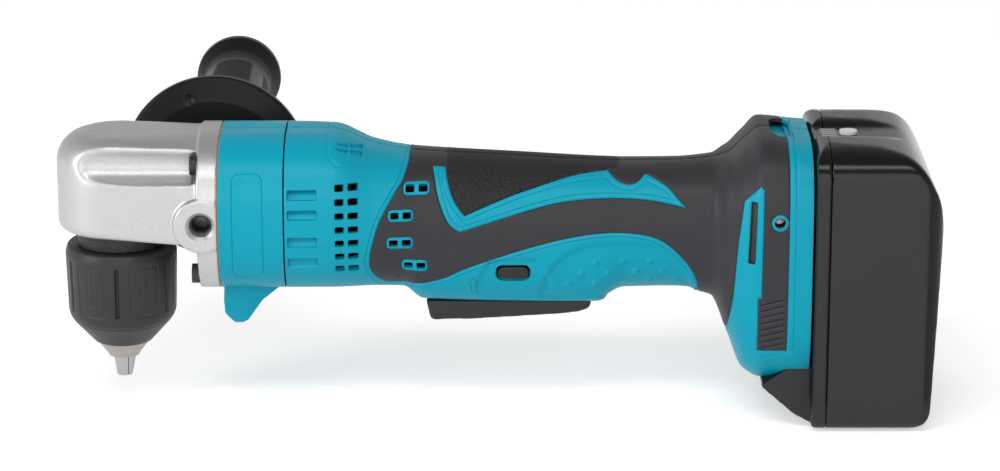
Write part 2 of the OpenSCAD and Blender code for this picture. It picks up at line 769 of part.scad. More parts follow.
module gear_housing() color("silver") at_axis() {
    back_outline = [for (p = case_outline(0)) [p[0], max(p[1], -head_bottom)]];
    difference() {
        union() {
            hull() {
                nose_form();
                front_prism(back_outline, x_flange, x_flange + overrun);
            }
            front_prism(case_outline(0), x_flange, head_len);
            translate([x_boss, 0, 0]) intersection() {
                rod_y(-motor_half_w, motor_half_w, boss_r);
                block([-boss_r, -motor_half_w, -boss_r], [boss_back, motor_half_w, boss_r]);
            }
        }
        rod_z(-head_bottom - overrun, chamber_top, chamber_r);
        rod_z(chamber_top - overrun, chamber_top + bearing_w + seat_gap, upper_bearing_r + seat_gap);
        rod_x(0, x_pinion_bearing + bearing_w, lower_bearing_r + seat_gap);
        rod_x(0, head_len + overrun, lower_bearing_r + gasket_t);
        at_head_screws() rod_x(x_flange - overrun, head_len + overrun, head_screw_r + seat_gap);
        for (s = [-1, 1]) {
            translate([x_boss, s * motor_half_w, 0])
                rod_y(-handle_thread_len, handle_thread_len, handle_thread_r);
            // Groove that lets a driver reach the upper screws, wide enough for their heads
            translate([0, s * (head_screw_off + groove_r - head_screw_head_r - part_gap), head_screw_off])
                rod_x(-nose_r / 2, x_flange, groove_r);
            translate([0, s * head_screw_off, -head_screw_off])
                rod_x(x_flange - head_screw_head_h - overrun, x_flange, head_screw_head_r + part_gap);
        }
    }
}

module head_screws() color("dimgray") at_axis() at_head_screws() translate([x_flange, 0, 0]) difference() {
    union() {
        rod_x(-head_screw_head_h, 0, head_screw_head_r);
        rod_x(-overrun, head_screw_len, head_screw_r);
    }
    translate([-head_screw_head_h - overrun, 0, 0]) rotate([0, 90, 0])
        cylinder(h = overrun + head_screw_head_h / 2, r = head_screw_r, $fn = 6);
}

module bearing_box() color("darkslategray") at_axis() difference() {
    union() {
        rod_z(z_neck, -head_bottom + seat_gap, neck_r);
        rod_z(-head_bottom, -head_bottom + 2 * gasket_t, chamber_r - seat_gap);
    }
    rod_z(z_neck - overrun, z_neck + bearing_w, lower_bearing_r + seat_gap);
    rod_z(z_neck, overrun, (lower_bearing_r + spindle_r) / 2);
}

module spindle() color("lightsteelblue") at_axis() difference() {
    union() {
        rod_z(z_spindle_end, chamber_top, spindle_r);
        rod_z(chamber_top - overrun, chamber_top + bearing_w, journal_r);
    }
    rod_z(z_spindle_end - overrun, z_spindle_end + chuck_screw_len + overrun, chuck_screw_r + seat_gap);
}

module spindle_lower_bearing() color("lightgray") at_axis()
    rotate([0, -90, 0]) bearing_x(z_neck, bearing_w, spindle_r + seat_gap, lower_bearing_r);

module spindle_upper_bearing() color("lightgray") at_axis()
    rotate([0, -90, 0]) bearing_x(chamber_top, bearing_w, journal_r + seat_gap, upper_bearing_r);

module bevel_gear() color("slategray") at_axis() {
    hub_r = bevel_pitch_r * 0.62;
    bevel_crown(bevel_pitch_r, bevel_teeth, pinion_pitch_r, spindle_r + 2 * bevel_module,
        pinion_pitch_r, z_gear_top, bevel_pitch_r);
    tube_z(pinion_pitch_r, chamber_top - part_gap, spindle_r + seat_gap, hub_r);
}

module bevel_pinion() color("slategray") at_axis() {
    // A gap of the pinion faces the gear tooth that lies on the motor axis
    rotate([0, 90, 0]) rotate([0, 0, 180 / pinion_teeth]) bevel_crown(pinion_pitch_r, pinion_teeth,
        bevel_pitch_r, pinion_pitch_r / 4, bevel_pitch_r * (1 - bevel_face / cone_len),
        x_pinion_bearing - gasket_t, pinion_pitch_r);
    rod_x(bevel_pitch_r * (1 - bevel_face / cone_len) + gasket_t, x_pinion_bearing, pinion_pitch_r / 2);
    rod_x(x_pinion_bearing, x_carrier + carrier_t / 2, pinion_shaft_r);
    rod_x(x_carrier, x_carrier + carrier_t, carrier_r);
    for (k = [0 : planets - 1])
        rotate([360 * k / planets, 0, 0]) translate([0, 0, planet_orbit_r])
            rod_x(x_carrier, x_planet_back + part_gap, planet_pin_r);
}

module pinion_bearing() color("lightgray") at_axis()
    bearing_x(x_pinion_bearing + run_gap, bearing_w - run_gap, pinion_shaft_r + seat_gap, lower_bearing_r);

module planet_gear(k) color("gray") at_axis()
    rotate([360 * k / planets, 0, 0]) translate([0, 0, planet_orbit_r])
        rotate([180 / sun_teeth + 90, 0, 0])
            spur(planet_wheel(sun_teeth), x_planet, x_planet_back, planet_pin_r + run_gap);

module planet_gear_1() planet_gear(0);
module planet_gear_2() planet_gear(1);
module planet_gear_3() planet_gear(2);

module ring_gear() color("dimgray") at_axis() difference() {
    rod_x(x_planet - part_gap, x_planet_back + part_gap, ring_r);
    translate([x_planet - part_gap - overrun, 0, 0]) rotate([90, 0, 90])
        linear_extrude(planet_w + 2 * part_gap + 2 * overrun)
            rotate(90 + 180 / ring_teeth) polygon(ring_wheel);
}

module head_gasket() color("darkgoldenrod") at_axis() difference() {
    front_prism(case_outline(gasket_t), head_len, x_case);
    rod_x(head_len - overrun, x_case + overrun, chamber_r);
    at_head_screws() rod_x(head_len - overrun, x_case + overrun, head_screw_r + seat_gap);
}

// Gear case and lamp

lamp_x_share = 0.92;
z_lens = -motor_r - lens_h / 2 - 3 * gasket_t;
function lamp_outline() = let (len = lamp_x_share * case_len) rounded([
    [x_case, -motor_r / 2, 0], [x_case, -lamp_drop + 0.35 * len / 2, 0],
    [x_case + 0.16 * len, -lamp_drop, 0.09 * len], [x_case + 0.38 * len, -lamp_drop, 0.14 * len],
    [x_case + 0.66 * len, -motor_r * 1.18, 0.18 * len],
    [x_case + len, -motor_r, 0], [x_case + len, -motor_r / 2, 0]
]);

module gear_case() color("teal") at_axis() difference() {
    union() {
        front_prism(case_outline(0), x_case, x_case_back);
        side_prism(lamp_outline(), -lamp_half_w, lamp_half_w);
    }
    rod_x(x_case - overrun, x_planet_back + part_gap, ring_r + seat_gap);
    rod_x(x_bracket, x_case_back + overrun, bracket_r + seat_gap);
    rod_x(x_case, x_case_back, front_bearing_r);
    at_head_screws() rod_x(x_case - overrun, x_flange + head_screw_len + overrun, head_screw_r + seat_gap);
    block([x_case - overrun, -lens_half_w - seat_gap, z_lens - lens_h / 2 - seat_gap],
        [x_case + lens_t + 2 * board_t, lens_half_w + seat_gap, z_lens + lens_h / 2 + seat_gap]);
}

module lamp_lens() color("aliceblue") at_axis() intersection() {
    block([x_case - gasket_t / 2, -lens_half_w, z_lens - lens_h / 2],
        [x_case + lens_t, lens_half_w, z_lens + lens_h / 2]);
    translate([x_case - gasket_t / 2 + 4 * lens_h, 0, z_lens]) rod_y(-lens_half_w, lens_half_w, 4 * lens_h);
}

module lamp_board() color("darkgreen") at_axis()
    block([x_case + lens_t, -lens_half_w, z_lens - lens_h / 2],
        [x_case + lens_t + board_t, lens_half_w, z_lens + lens_h / 2]);

// Motor

module motor_pinion() color("gray") at_axis()
    rotate([90, 0, 0]) spur(planet_wheel(sun_teeth), x_planet, x_planet_back, shaft_end_r + seat_gap);

module armature_shaft() color("lightsteelblue") at_axis() {
    rod_x(x_planet, x_front_bearing, shaft_end_r);
    rod_x(x_front_bearing - overrun, x_front_bearing + bearing_w, front_journal_r);
    rod_x(x_front_bearing + bearing_w, x_rear_bearing, shaft_r);
    rod_x(x_rear_bearing - overrun, x_rear_bearing + rear_bearing_w, shaft_end_r);
}

module armature_core() color("silver") at_axis() {
    slots = 12;
    slot_w = core_r * 0.16;
    difference() {
        tube_x(x_core, x_core + core_len, shaft_r + seat_gap, core_r);
        for (k = [0 : slots - 1]) rotate([360 * k / slots, 0, 0])
            block([x_core - overrun, -slot_w / 2, 0.68 * core_r],
                [x_core + core_len + overrun, slot_w / 2, 2 * core_r]);
    }
}

module armature_windings() color("peru") at_axis() {
    for (x = [x_core - winding_len, x_core + core_len]) translate([x, 0, 0]) rotate([0, 90, 0])
        rotate_extrude() polygon(rounded([
            [shaft_r + part_gap, 0, 0], [0.86 * core_r, 0, winding_len / 3],
            [0.86 * core_r, winding_len, winding_len / 3], [shaft_r + part_gap, winding_len, 0]
        ]));
}

module commutator() color("goldenrod") at_axis() {
    bars = 24;
    cut_w = commutator_r * 0.06;
    difference() {
        tube_x(x_commutator, x_commutator + commutator_len, shaft_r + seat_gap, commutator_r);
        for (k = [0 : bars - 1]) rotate([360 * (k + 0.5) / bars, 0, 0])
            block([x_commutator - overrun, -cut_w / 2, 0.94 * commutator_r],
                [x_commutator + commutator_len + overrun, cut_w / 2, 2 * commutator_r]);
    }
}

module fan() color("black") at_axis() {
    plate_t = fan_w * 0.16;
    blade_w = fan_r * 0.07;
    tube_x(x_fan, x_fan + plate_t, shaft_r + seat_gap, fan_r);
    tube_x(x_fan, x_fan + fan_w, shaft_r + seat_gap, shaft_r + 0.2 * fan_r);
    for (k = [0 : fan_blades - 1]) rotate([360 * k / fan_blades, 0, 0])
        translate([0, 0, 0.5 * fan_r]) rotate([-25, 0, 0])
            block([x_fan, -blade_w / 2, 0], [x_fan + fan_w, blade_w / 2, 0.44 * fan_r]);
}

module motor_front_bearing() color("lightgray") at_axis()
    bearing_x(x_front_bearing, bearing_w, front_journal_r + seat_gap, front_bearing_r);

module motor_rear_bearing() color("lightgray") at_axis()
    bearing_x(x_rear_bearing, rear_bearing_w, shaft_end_r + seat_gap, rear_bearing_r);

module motor_yoke() color("dimgray") at_axis()
    tube_x(x_yoke, x_yoke_back, yoke_r - yoke_wall, yoke_r);

module motor_magnets() color("darkslategray") at_axis() {
    arc = 132;
    for (s = [0, 180]) translate([x_core, 0, 0]) rotate([0, 90, 0]) rotate(s - arc / 2)
        rotate_extrude(angle = arc) translate([core_r + 2 * part_gap, 0])
            square([yoke_r - yoke_wall - seat_gap - core_r - 2 * part_gap, core_len]);
}

module brush_holders() color("khaki") at_axis() {
    difference() {
        union() {
            tube_x(x_yoke_back, x_yoke_back + brush_plate_t, core_r, yoke_r);
            for (s = [0, 180]) rotate([s, 0, 0])
                block([x_yoke_back, core_r - overrun, -brush_h / 2 - brush_box_wall],
                    [x_yoke_back + brush_w + 2 * brush_box_wall, core_r + brush_box_len / 2,
                        brush_h / 2 + brush_box_wall]);
        }
        for (s = [0, 180]) rotate([s, 0, 0])
            block([x_yoke_back + brush_box_wall - run_gap, 0, -brush_h / 2 - run_gap],
                [x_yoke_back + brush_box_wall + brush_w + run_gap, yoke_r + overrun, brush_h / 2 + run_gap]);
    }
}

module carbon_brushes() color("black") at_axis()
    for (s = [0, 180]) rotate([s, 0, 0])
        block([x_yoke_back + brush_box_wall, commutator_r + run_gap, -brush_h / 2],
            [x_yoke_back + brush_box_wall + brush_w, core_r + brush_box_len / 2, brush_h / 2]);

module motor_bracket() color("darkgray") at_axis() difference() {
    union() {
        rod_x(x_bracket, x_bracket + bracket_t / 2, bracket_r);
        rod_x(x_bracket, x_bracket + bracket_t, front_bearing_r + 2 * wall);
    }
    rod_x(x_front_bearing, x_bracket + bracket_t + overrun, front_bearing_r + seat_gap);
    rod_x(x_bracket - overrun, x_front_bearing + overrun, front_bearing_r - 2 * bracket_lip);
}

// Housing and grip

// Black rubber area seen from the side
module rubber_area(inset) {
    front = curve(side_points(rubber_front_shares));
    under = curve(side_points(rubber_under_shares));
    inlay = curve(side_points(foot_inlay_shares));
    offset(delta = -inset) difference() {
        polygon(concat(front, under, [
            for (share = rubber_heel_shares) [side_x(share), -2 * foot_bottom]
        ], inlay, [
            [side_x(foot_crease_share), side_z(foot_crease_top_share)],
            [side_x(pad_front_share), side_z(pad_top_share)],
            [side_x(pad_front_share), side_z(pad_bottom_share)],
            [side_x(foot_strip_end_share), side_z(pad_bottom_share)],
            [side_x(foot_strip_end_share), side_z(foot_strip_top_share)]
        ]));
        polygon(concat(curve(side_points(tick_left_shares)), curve(side_points(tick_low_shares)),
            curve(side_points(tick_high_shares)), curve(side_points(tick_right_shares))));
    }
}

module rubber_prism(inset) {
    rotate([90, 0, 0]) linear_extrude(2 * foot_half_w) rubber_area(inset);
}

// Slots through one side of the motor end and of the grip
module motor_vents(depth) {
    pitch = (vent_top_share - vent_bottom_share) / (vent_rows - 1);
    for (column = vent_column_shares, k = [0 : vent_rows - 1])
        side_slot(side_x(column[0]), side_x(column[1]), side_z(vent_top_share - k * pitch), vent_h,
            -2 * motor_half_w, -motor_half_w + depth);
}

module grip_vents() {
    for (v = grip_vent_shares) {
        x = side_x(v[0]);
        len = grip_vent_len_share * body_len;
        slot = len * grip_vent_split_share;
        for (x0 = [x, x + len - slot])
            side_slot(x0, x0 + slot, side_z(v[1]), vent_h, -2 * motor_half_w, -grip_half_w / 2);
    }
}

module side_recesses() {
    for (z = recess_row_shares)
        side_slot(side_x(recess_share[0]), side_x(recess_share[1]), side_z(z), 1.2 * vent_h,
            -2 * motor_half_w, -skin_y(side_x(recess_share[1]), side_z(z)) + recess_depth);
}

// Walls and ribs inside one half, before they are trimmed to the housing's form
module half_ribs() {
    rib_t = wall;
    reach = 2 * foot_half_w;
    // Seats of the motor yoke and the rear bearing
    for (x = [x_yoke + 2 * rib_t, x_yoke_back - 3 * rib_t])
        block([x, -reach, -reach], [x + rib_t, 0, reach]);
    block([x_rear_bearing, -reach, -1.3 * rear_bearing_r], [x_rear_bearing + rear_bearing_w, 0, reach]);
    // Seats of the switch
    for (x = [x_switch + rib_t, x_switch + switch_len - 2 * rib_t])
        block([x, -reach, z_switch + rib_t], [x + rib_t, -switch_half_w - seat_gap, z_switch + switch_h]);
    // Ears of the trigger pin
    block([x_pivot - pivot_ear_r, -reach, z_pivot - pivot_ear_r],
        [x_pivot + pivot_ear_r, -trigger_half_w - part_gap, z_pivot + pivot_ear_r]);
    // Screw bosses
    for (s = screw_shares) at_side(s) rod_y(-reach, 0, screw_boss_r, 12);
    // Seat of the hook nut
    at_side(hook_share) rod_y(-reach, -foot_half_w + hook_thread_len + rib_t, hook_nut_r + rib_t, 16);
    // Wall behind the battery's rails
    block([x_channel - channel_wall, -reach, -reach], [x_foot + overrun, 0, reach]);
}

// Everything that is cut from one half
module half_cuts() {
    reach = 2 * foot_half_w;
    rod_x(x_yoke - overrun, x_rear_bearing - overrun, yoke_r + 2 * seat_gap);
    rod_x(x_yoke, x_rear_bearing + rear_bearing_w + overrun, rear_bearing_r + seat_gap);
    motor_vents(2.5 * wall);
    grip_vents();
    side_recesses();
    // Opening of the trigger
    block([x_trigger - 2 * part_gap, -trigger_half_w - part_gap, -reach],
        [x_trigger_back + 2 * part_gap, overrun, -grip_bottom + 3 * wall]);
    translate([x_pivot, 0, z_pivot]) rod_y(-trigger_half_w - 3 * wall, overrun, trigger_pin_r + run_gap, 24);
    // Slot of the direction lever
    block([x_direction - part_gap, -reach, z_direction - direction_h / 2 - part_gap],
        [x_direction + direction_w + part_gap, overrun, z_direction + direction_h / 2 + part_gap]);
    // Hook nut
    at_side(hook_share)
        rod_y(-reach, -foot_half_w + hook_thread_len + seat_gap, hook_nut_r + 2 * run_gap, 24);
    // Channel for the battery's rails, open to the back and below
    block([x_channel - part_gap, -rail_half_w - part_gap, -2 * foot_bottom],
        [x_channel + rail_t + part_gap, overrun, channel_top_share * foot_top]);
    block([x_channel, -rail_neck_half_w - part_gap, -2 * foot_bottom],
        [x_foot + 2 * overrun, overrun, channel_top_share * foot_top]);
    // Window of the terminal block
    block([x_channel - 2 * channel_wall, -block_half_w - seat_gap, block_bottom_share * motor_r - seat_gap],
        [x_channel, overrun, block_top_share * motor_r + seat_gap]);
    // Slope under the foot, over the battery's hump
    side_prism([
        [x_channel + rail_t + 2 * overrun, -hump_top_share * foot_bottom],
        [x_battery - hump_tip - 3 * battery_gap, -0.965 * foot_bottom],
        [x_battery - hump_tip, -2 * foot_bottom], [x_foot + 3 * overrun, -2 * foot_bottom],
        [x_foot + 3 * overrun, -(hump_top_share - 0.03) * foot_bottom]
    ], -reach, overrun);
    // Notch over the release button's latch
    block([x_battery - hump_tip + release_len / 2 - part_gap, -latch_half_w - part_gap, -2 * foot_bottom],
        [x_battery - hump_tip + release_len / 2 + latch_t + release_travel + part_gap, overrun,
            -hump_top_share * foot_bottom]);
}

// One half of the housing, drawn on the near side. The screws' heads lie on the far half.
module housing_half(far) {
    difference() {
        union() {
            difference() {
                half_form(0);
                half_form(wall, section_x, cavity_steps);
            }
            intersection() {
                half_ribs();
                half_form(wall / 2, section_x, cavity_steps);
            }
            intersection() {
                half_form(0);
                block([x_channel - channel_wall, -2 * foot_half_w, -2 * foot_bottom],
                    [x_foot + overrun, 0, 2 * foot_top]);
            }
        }
        half_cuts();
        for (s = screw_shares) at_side(s) {
            y = skin_y(side_x(s[0]), side_z(s[1]));
            rod_y(far ? -2 * y : -screw_left_share * y - overrun, overrun, housing_screw_r + 2 * run_gap, 16);
            if (far)
                rod_y(-2 * y, -y + screw_seat_depth + screw_head_h, housing_screw_head_r + 2 * run_gap, 16);
        }
        intersection() {
            half_shell(-overrun, rubber_t);
            rubber_prism(0);
        }
    }
}

module grip_half() {
    difference() {
        intersection() {
            half_shell(0, rubber_t - run_gap);
            rubber_prism(run_gap);
        }
        grip_vents();
        half_cuts();
        for (s = screw_shares) at_side(s) rod_y(-2 * foot_half_w, 0, housing_screw_head_r + 2 * run_gap, 16);
    }
}

module housing_left() color("darkcyan") at_axis() housing_half(false);
module housing_right() color("darkcyan") at_axis() mirror([0, 1, 0]) housing_half(true);
module grip_left() color("black") at_axis() grip_half();
module grip_right() color("black") at_axis() mirror([0, 1, 0]) grip_half();

module housing_screws() color("dimgray") at_axis()
    for (s = screw_shares) at_side(s) {
        seat = skin_y(side_x(s[0]), side_z(s[1])) - screw_seat_depth - screw_head_h;
        rod_y(seat, seat + screw_head_h, housing_screw_head_r);
        rod_y(-screw_left_share * seat, seat + overrun, housing_screw_r);
    }

module hook_nuts() color("lightgray") at_axis()
    for (s = [-1, 1]) at_side(hook_share) scale([1, s, 1]) difference() {
        rod_y(foot_half_w - hook_thread_len, foot_half_w - run_gap, hook_nut_r);
        rod_y(foot_half_w - hook_thread_len - overrun, foot_half_w + overrun, hook_thread_r);
    }

// Trigger, switch and direction lever

module trigger() color("black") at_axis() {
    front_z = -trigger_top - trigger_drop;
    back_z = -trigger_top - trigger_drop / 2;
    lever = rounded([
        [x_trigger, -trigger_top, 0], [x_trigger + 0.03 * trigger_len, front_z, trigger_drop / 4],
        [x_trigger + 0.55 * trigger_len, front_z + 0.16 * trigger_drop, trigger_len / 2],
        [x_trigger_back - 0.16 * trigger_len, back_z, trigger_drop], [x_trigger_back, -trigger_top, 0]
    ]);
    difference() {
        union() {
            side_prism(lever, -trigger_half_w, trigger_half_w);
            hull() for (z = [z_pivot, -trigger_top - overrun]) translate([x_pivot, 0, z])
                rod_y(-trigger_ear_half_w, trigger_ear_half_w, pivot_ear_r, 32);
        }
        translate([x_pivot, 0, z_pivot])
            rod_y(-trigger_half_w, trigger_half_w, trigger_pin_r + run_gap);
    }
}

module trigger_pin() color("silver") at_axis()
    translate([x_pivot, 0, z_pivot])
        rod_y(-trigger_half_w - 2 * wall, trigger_half_w + 2 * wall, trigger_pin_r);

module trigger_spring() color("silver") at_axis() {
    r = plunger_r + spring_wire_r + 3 * run_gap;
    translate([x_plunger, 0, 0]) coil(r, z_plunger + plunger_head_h + spring_wire_r + run_gap,
        z_switch - spring_wire_r - run_gap);
}

module switch_body() color("darkslategray") at_axis() difference() {
    block([x_switch, -switch_half_w, z_switch], [x_switch + switch_len, switch_half_w, z_switch + switch_h]);
    translate([x_plunger, 0, 0])
        rod_z(z_switch - overrun, z_plunger + plunger_len + plunger_travel + part_gap, plunger_r + run_gap);
}

module switch_plunger() color("black") at_axis() translate([x_plunger, 0, 0]) {
    rod_z(z_plunger, z_plunger + plunger_head_h, plunger_head_r);
    rod_z(z_plunger, z_plunger + plunger_len, plunger_r);
}

module direction_lever() color("black") at_axis() {
    y = skin_y(x_direction + direction_w / 2, z_direction) - recess_depth;
    r = direction_round_share * direction_h;
    side_prism(rounded_box(x_direction, z_direction - direction_h / 2, x_direction + direction_w,
        z_direction + direction_h / 2, r), -y, y);
}

module terminal_block() color("black") at_axis() {
    block([x_channel - part_gap - block_len, -block_half_w, block_bottom_share * motor_r],
        [x_channel - part_gap, block_half_w, block_top_share * motor_r]);
    for (y = [-blade_off, blade_off])
        block([x_channel - part_gap - overrun, y - blade_t / 2, 0.4 * block_bottom_share * motor_r],
            [x_channel + blade_len, y + blade_t / 2, 0.8 * block_top_share * motor_r]);
}

module lead_wires() color("firebrick") at_axis() {
    z_high = 0.5 * (block_bottom_share + block_top_share) * motor_r;
    z_low = z_switch + 0.85 * switch_h;
    x_bend = x_direction + 1.5 * direction_w;
    x_block = x_channel - part_gap - block_len;
    x_back = x_switch + switch_len;
    drop = [x_bend - x_back, 0, z_high - z_low];
    for (y = [-wire_off, wire_off]) translate([0, y, 0]) {
        translate([0, 0, z_high]) rod_x(x_bend, x_block, wire_r);
        translate([x_bend, 0, z_high]) sphere(wire_r);
        translate([x_bend, 0, z_high]) rotate([0, atan2(drop[0], drop[2]) + 180, 0])
            cylinder(h = norm(drop) - wire_r, r = wire_r);
    }
}

// Chuck

jaw_len = 30;
function jaw_axis_r(z) = (z - z_jaw_cross) * tan(jaw_slope);
nut_in_r = jaw_axis_r(z_nut + nut_h) + jaw_r / cos(jaw_slope) + part_gap;
sleeve_wall = 2.4;
sleeve_taper_share = 0.035;
sleeve_end_share = 0.27;
sleeve_ribs = 12;

// Jaw bar along its slope, drawn out from the crossing of the jaw axes
module jaw_bar(k, s0, s1, r) {
    rotate(120 * k) translate([0, 0, z_jaw_cross]) rotate([0, jaw_slope, 0]) rod_z(s0, s1, r);
}

module chuck_body() color("rosybrown") at_axis() difference() {
    rotate_extrude() polygon([
        [0, z_rim - rim_gap], [chuck_body_r, z_rim - rim_gap], [chuck_body_r, z_nut + nut_h + 2 * run_gap],
        [nut_in_r - 2 * part_gap, z_nut + nut_h + 2 * run_gap],
        [nut_in_r - 2 * part_gap, z_nut - 2 * run_gap],
        [0.95 * chuck_body_r, z_nut - 2 * run_gap], [sleeve_tip_r - 2 * part_gap, z_sleeve + nose_len / 3],
        [sleeve_tip_r - 2 * part_gap, z_sleeve], [1.05 * nose_tip_r, z_nose + nose_len * 0.12],
        [nose_tip_r, z_nose], [0, z_nose]
    ]);
    rod_z(z_spindle_end, overrun, spindle_r + seat_gap);
    rod_z(z_nose - overrun, z_spindle_end - chuck_web_t, bit_max_r + run_gap);
    rod_z(z_spindle_end - chuck_web_t - overrun, overrun, chuck_screw_r + seat_gap);
    for (k = [0 : 2]) jaw_bar(k, -2 * jaw_r, 2 * jaw_len, jaw_r + run_gap);
}

module chuck_sleeve() color("black") at_axis() {
    side_r = sleeve_r * (1 - sleeve_taper_share);
    z_bend = z_sleeve + sleeve_end_share * sleeve_len;
    slot_w = sleeve_r * 0.06;
    slot_in = sleeve_r * 0.975;
    difference() {
        rotate_extrude() polygon(rounded([
            [chuck_body_r + run_gap, z_rim, 0], [sleeve_r - sleeve_wall / 2, z_rim, 0],
            [sleeve_r, z_rim - sleeve_wall / 2, 0], [side_r, z_bend, 0.16 * sleeve_len],
            [sleeve_tip_r, z_sleeve, 0], [sleeve_tip_r - part_gap, z_sleeve, 0],
            [sleeve_tip_r - part_gap, z_sleeve + nose_len / 3 + part_gap, 0],
            [side_r - sleeve_wall, z_nut - 2 * run_gap, 0],
            [side_r - sleeve_wall, z_nut + nut_h + run_gap, 0],
            [chuck_body_r + run_gap, z_nut + nut_h + run_gap, 0]
        ]));
        for (k = [0 : sleeve_ribs - 1]) rotate(360 * (k + 0.5) / sleeve_ribs)
            block([slot_in, -slot_w / 2, z_bend + 2 * sleeve_wall],
                [2 * sleeve_r, slot_w / 2, z_rim - 2 * sleeve_wall]);
    }
}

module chuck_nut() color("dimgray") at_axis() {
    side_r = sleeve_r * (1 - sleeve_taper_share);
    tube_z(z_nut, z_nut + nut_h, nut_in_r, side_r - sleeve_wall - seat_gap);
}

module chuck_jaw(k) color("slategray") at_axis() intersection() {
    difference() {
        jaw_bar(k, -2 * jaw_r, jaw_len, jaw_r);
        rod_z(2 * z_tip, 0, bit_min_r);
    }
    // Third of a circle
    rotate(120 * k) translate([part_gap / 2, 0, z_tip]) linear_extrude(-z_tip)
        polygon([[0, 0], for (a = [-60, 60]) 8 * jaw_r * [cos(a), sin(a)]]);
}

module chuck_jaw_1() chuck_jaw(0);
module chuck_jaw_2() chuck_jaw(1);
module chuck_jaw_3() chuck_jaw(2);

module chuck_screw() color("silver") at_axis() {
    z_seat = z_spindle_end - chuck_web_t;
    rod_z(z_seat - chuck_screw_head_h, z_seat, chuck_screw_head_r);
    rod_z(z_seat - overrun, z_spindle_end + chuck_screw_len, chuck_screw_r);
}

// Side handle, with six flats on the end of its stud
stud_key_r = 1.5 * handle_thread_r;

module side_handle_grip() color("black") at_axis() translate([x_boss, motor_half_w + gasket_t, 0])
    rotate([-90, 0, 0]) {
        rim = guard_r * 0.12;
        neck = handle_grip_r * 0.86;
        difference() {
            rotate_extrude($fn = 64) polygon(rounded([
                [0, 0, 0], [boss_r, 0, rim / 4], [boss_r * 1.1, guard_off * 0.8, 0.7 * rim],
                [guard_r - 2 * rim, guard_off * 0.86, 1.4 * rim],
                [guard_r, guard_off + rim * 0.1, 0.35 * rim], [guard_r, guard_off + rim, 0.35 * rim],
                [guard_r - rim, guard_off + 1.4 * rim, 0.45 * rim],
                [handle_grip_r, guard_off + 1.6 * rim, 0.7 * rim],
                [neck, guard_off + 4 * rim, 0.8 * handle_grip_r],
                [handle_grip_r, handle_len * 0.55, 0.38 * handle_len],
                [neck, handle_len - 3 * rim, 0.65 * handle_grip_r],
                [handle_end_r, handle_len - 1.2 * rim, 0.45 * rim], [handle_end_r, handle_len, 0.45 * rim],
                [0, handle_len, 0]
            ]));
            rod_z(-overrun, handle_thread_len, stud_key_r + seat_gap, $fn = 6);
        }
    }

module side_handle_stud() color("silver") at_axis() translate([x_boss, motor_half_w + gasket_t, 0]) {
    rod_y(-handle_thread_len, overrun, handle_thread_r - run_gap);
    rod_y(0, handle_thread_len - seat_gap, stud_key_r, 6);
}

// Battery

// Side outline of the battery, set in by a depth
function battery_outline(w) = rounded([
    [x_battery + w, -battery_bottom + w, battery_toe_round - w / 2],
    [x_battery_back - 0.065 * battery_len - w, -battery_bottom + w, battery_low_round - w],
    [x_battery_back - w, 0, 0],
    [x_battery_back - w, battery_top - w - 0.06 * battery_len, battery_high_round - w],
    [x_battery + w, battery_top - w, battery_lip_round - w]
]);

// Outline of the battery seen along the body, set in by a depth
function battery_front(w) = rounded([
    [-battery_half_w + w, -battery_bottom + w, battery_side_low_round - w],
    [battery_half_w - w, -battery_bottom + w, battery_side_low_round - w],
    [battery_half_w - w, battery_top - w, battery_side_high_round - w],
    [-battery_half_w + w, battery_top - w, battery_side_high_round - w]
]);

module battery_form(w) intersection() {
    side_prism(battery_outline(w), -battery_half_w, battery_half_w);
    front_prism(battery_front(w), x_battery - overrun, x_battery_back + overrun);
}

module gauge_channel() {
    translate([0, 0, battery_top - gauge_channel_depth])
        block([x_battery - overrun, -gauge_channel_half_w, 0],
            [x_battery + 0.62 * battery_len, gauge_channel_half_w, 2 * gauge_channel_depth]);
}

x_gauge = x_battery + 0.3 * battery_len;
z_gauge = battery_top - gauge_channel_depth;
module gauge_form(gap) {
    x = gauge_len / 2 + gap;
    y = gauge_half_w + gap;
    polygon(rounded_box(-x, -y, x, y, 0.95 * gauge_half_w));
}

module gauge_button() color("whitesmoke") at_axis()
    translate([x_gauge, 0, z_gauge - 2 * gauge_travel - gauge_skirt])
        linear_extrude(3 * gauge_travel + gauge_skirt) gauge_form(0);

// Pocket for the button and its travel
module gauge_pocket() translate([x_gauge, 0, z_gauge - 3 * gauge_travel - gauge_skirt - part_gap])
    linear_extrude(10 * gauge_travel) gauge_form(run_gap);

// Room inside the battery, under the floor of the gauge's channel
module battery_hollow() intersection() {
    battery_form(battery_wall);
    block([x_battery, -2 * battery_half_w, -2 * battery_bottom],
        [x_battery_back, 2 * battery_half_w, z_gauge - 3 * gauge_travel - 4 * part_gap - battery_wall]);
}

module battery_case() color("black") at_axis() difference() {
    battery_form(0);
    block([x_battery - overrun, -2 * battery_half_w, -2 * battery_bottom],
        [x_battery_seam, 2 * battery_half_w, 2 * battery_top]);
    battery_hollow();
    gauge_channel();
    gauge_pocket();
}

// Slope of the hump that carries the release button
function hump_outline() = rounded([
    [x_battery + overrun, -hump_top_share * foot_bottom - battery_gap, 0],
    [x_battery - hump_tip, -0.965 * foot_bottom - battery_gap, 0],
    [x_battery - hump_tip, -foot_bottom + battery_gap / 2, 0],
    [x_battery - 0.32 * hump_tip, -battery_bottom * 0.94, 0.22 * hump_tip],
    [x_battery + overrun, -battery_bottom + overrun, 0]
]);

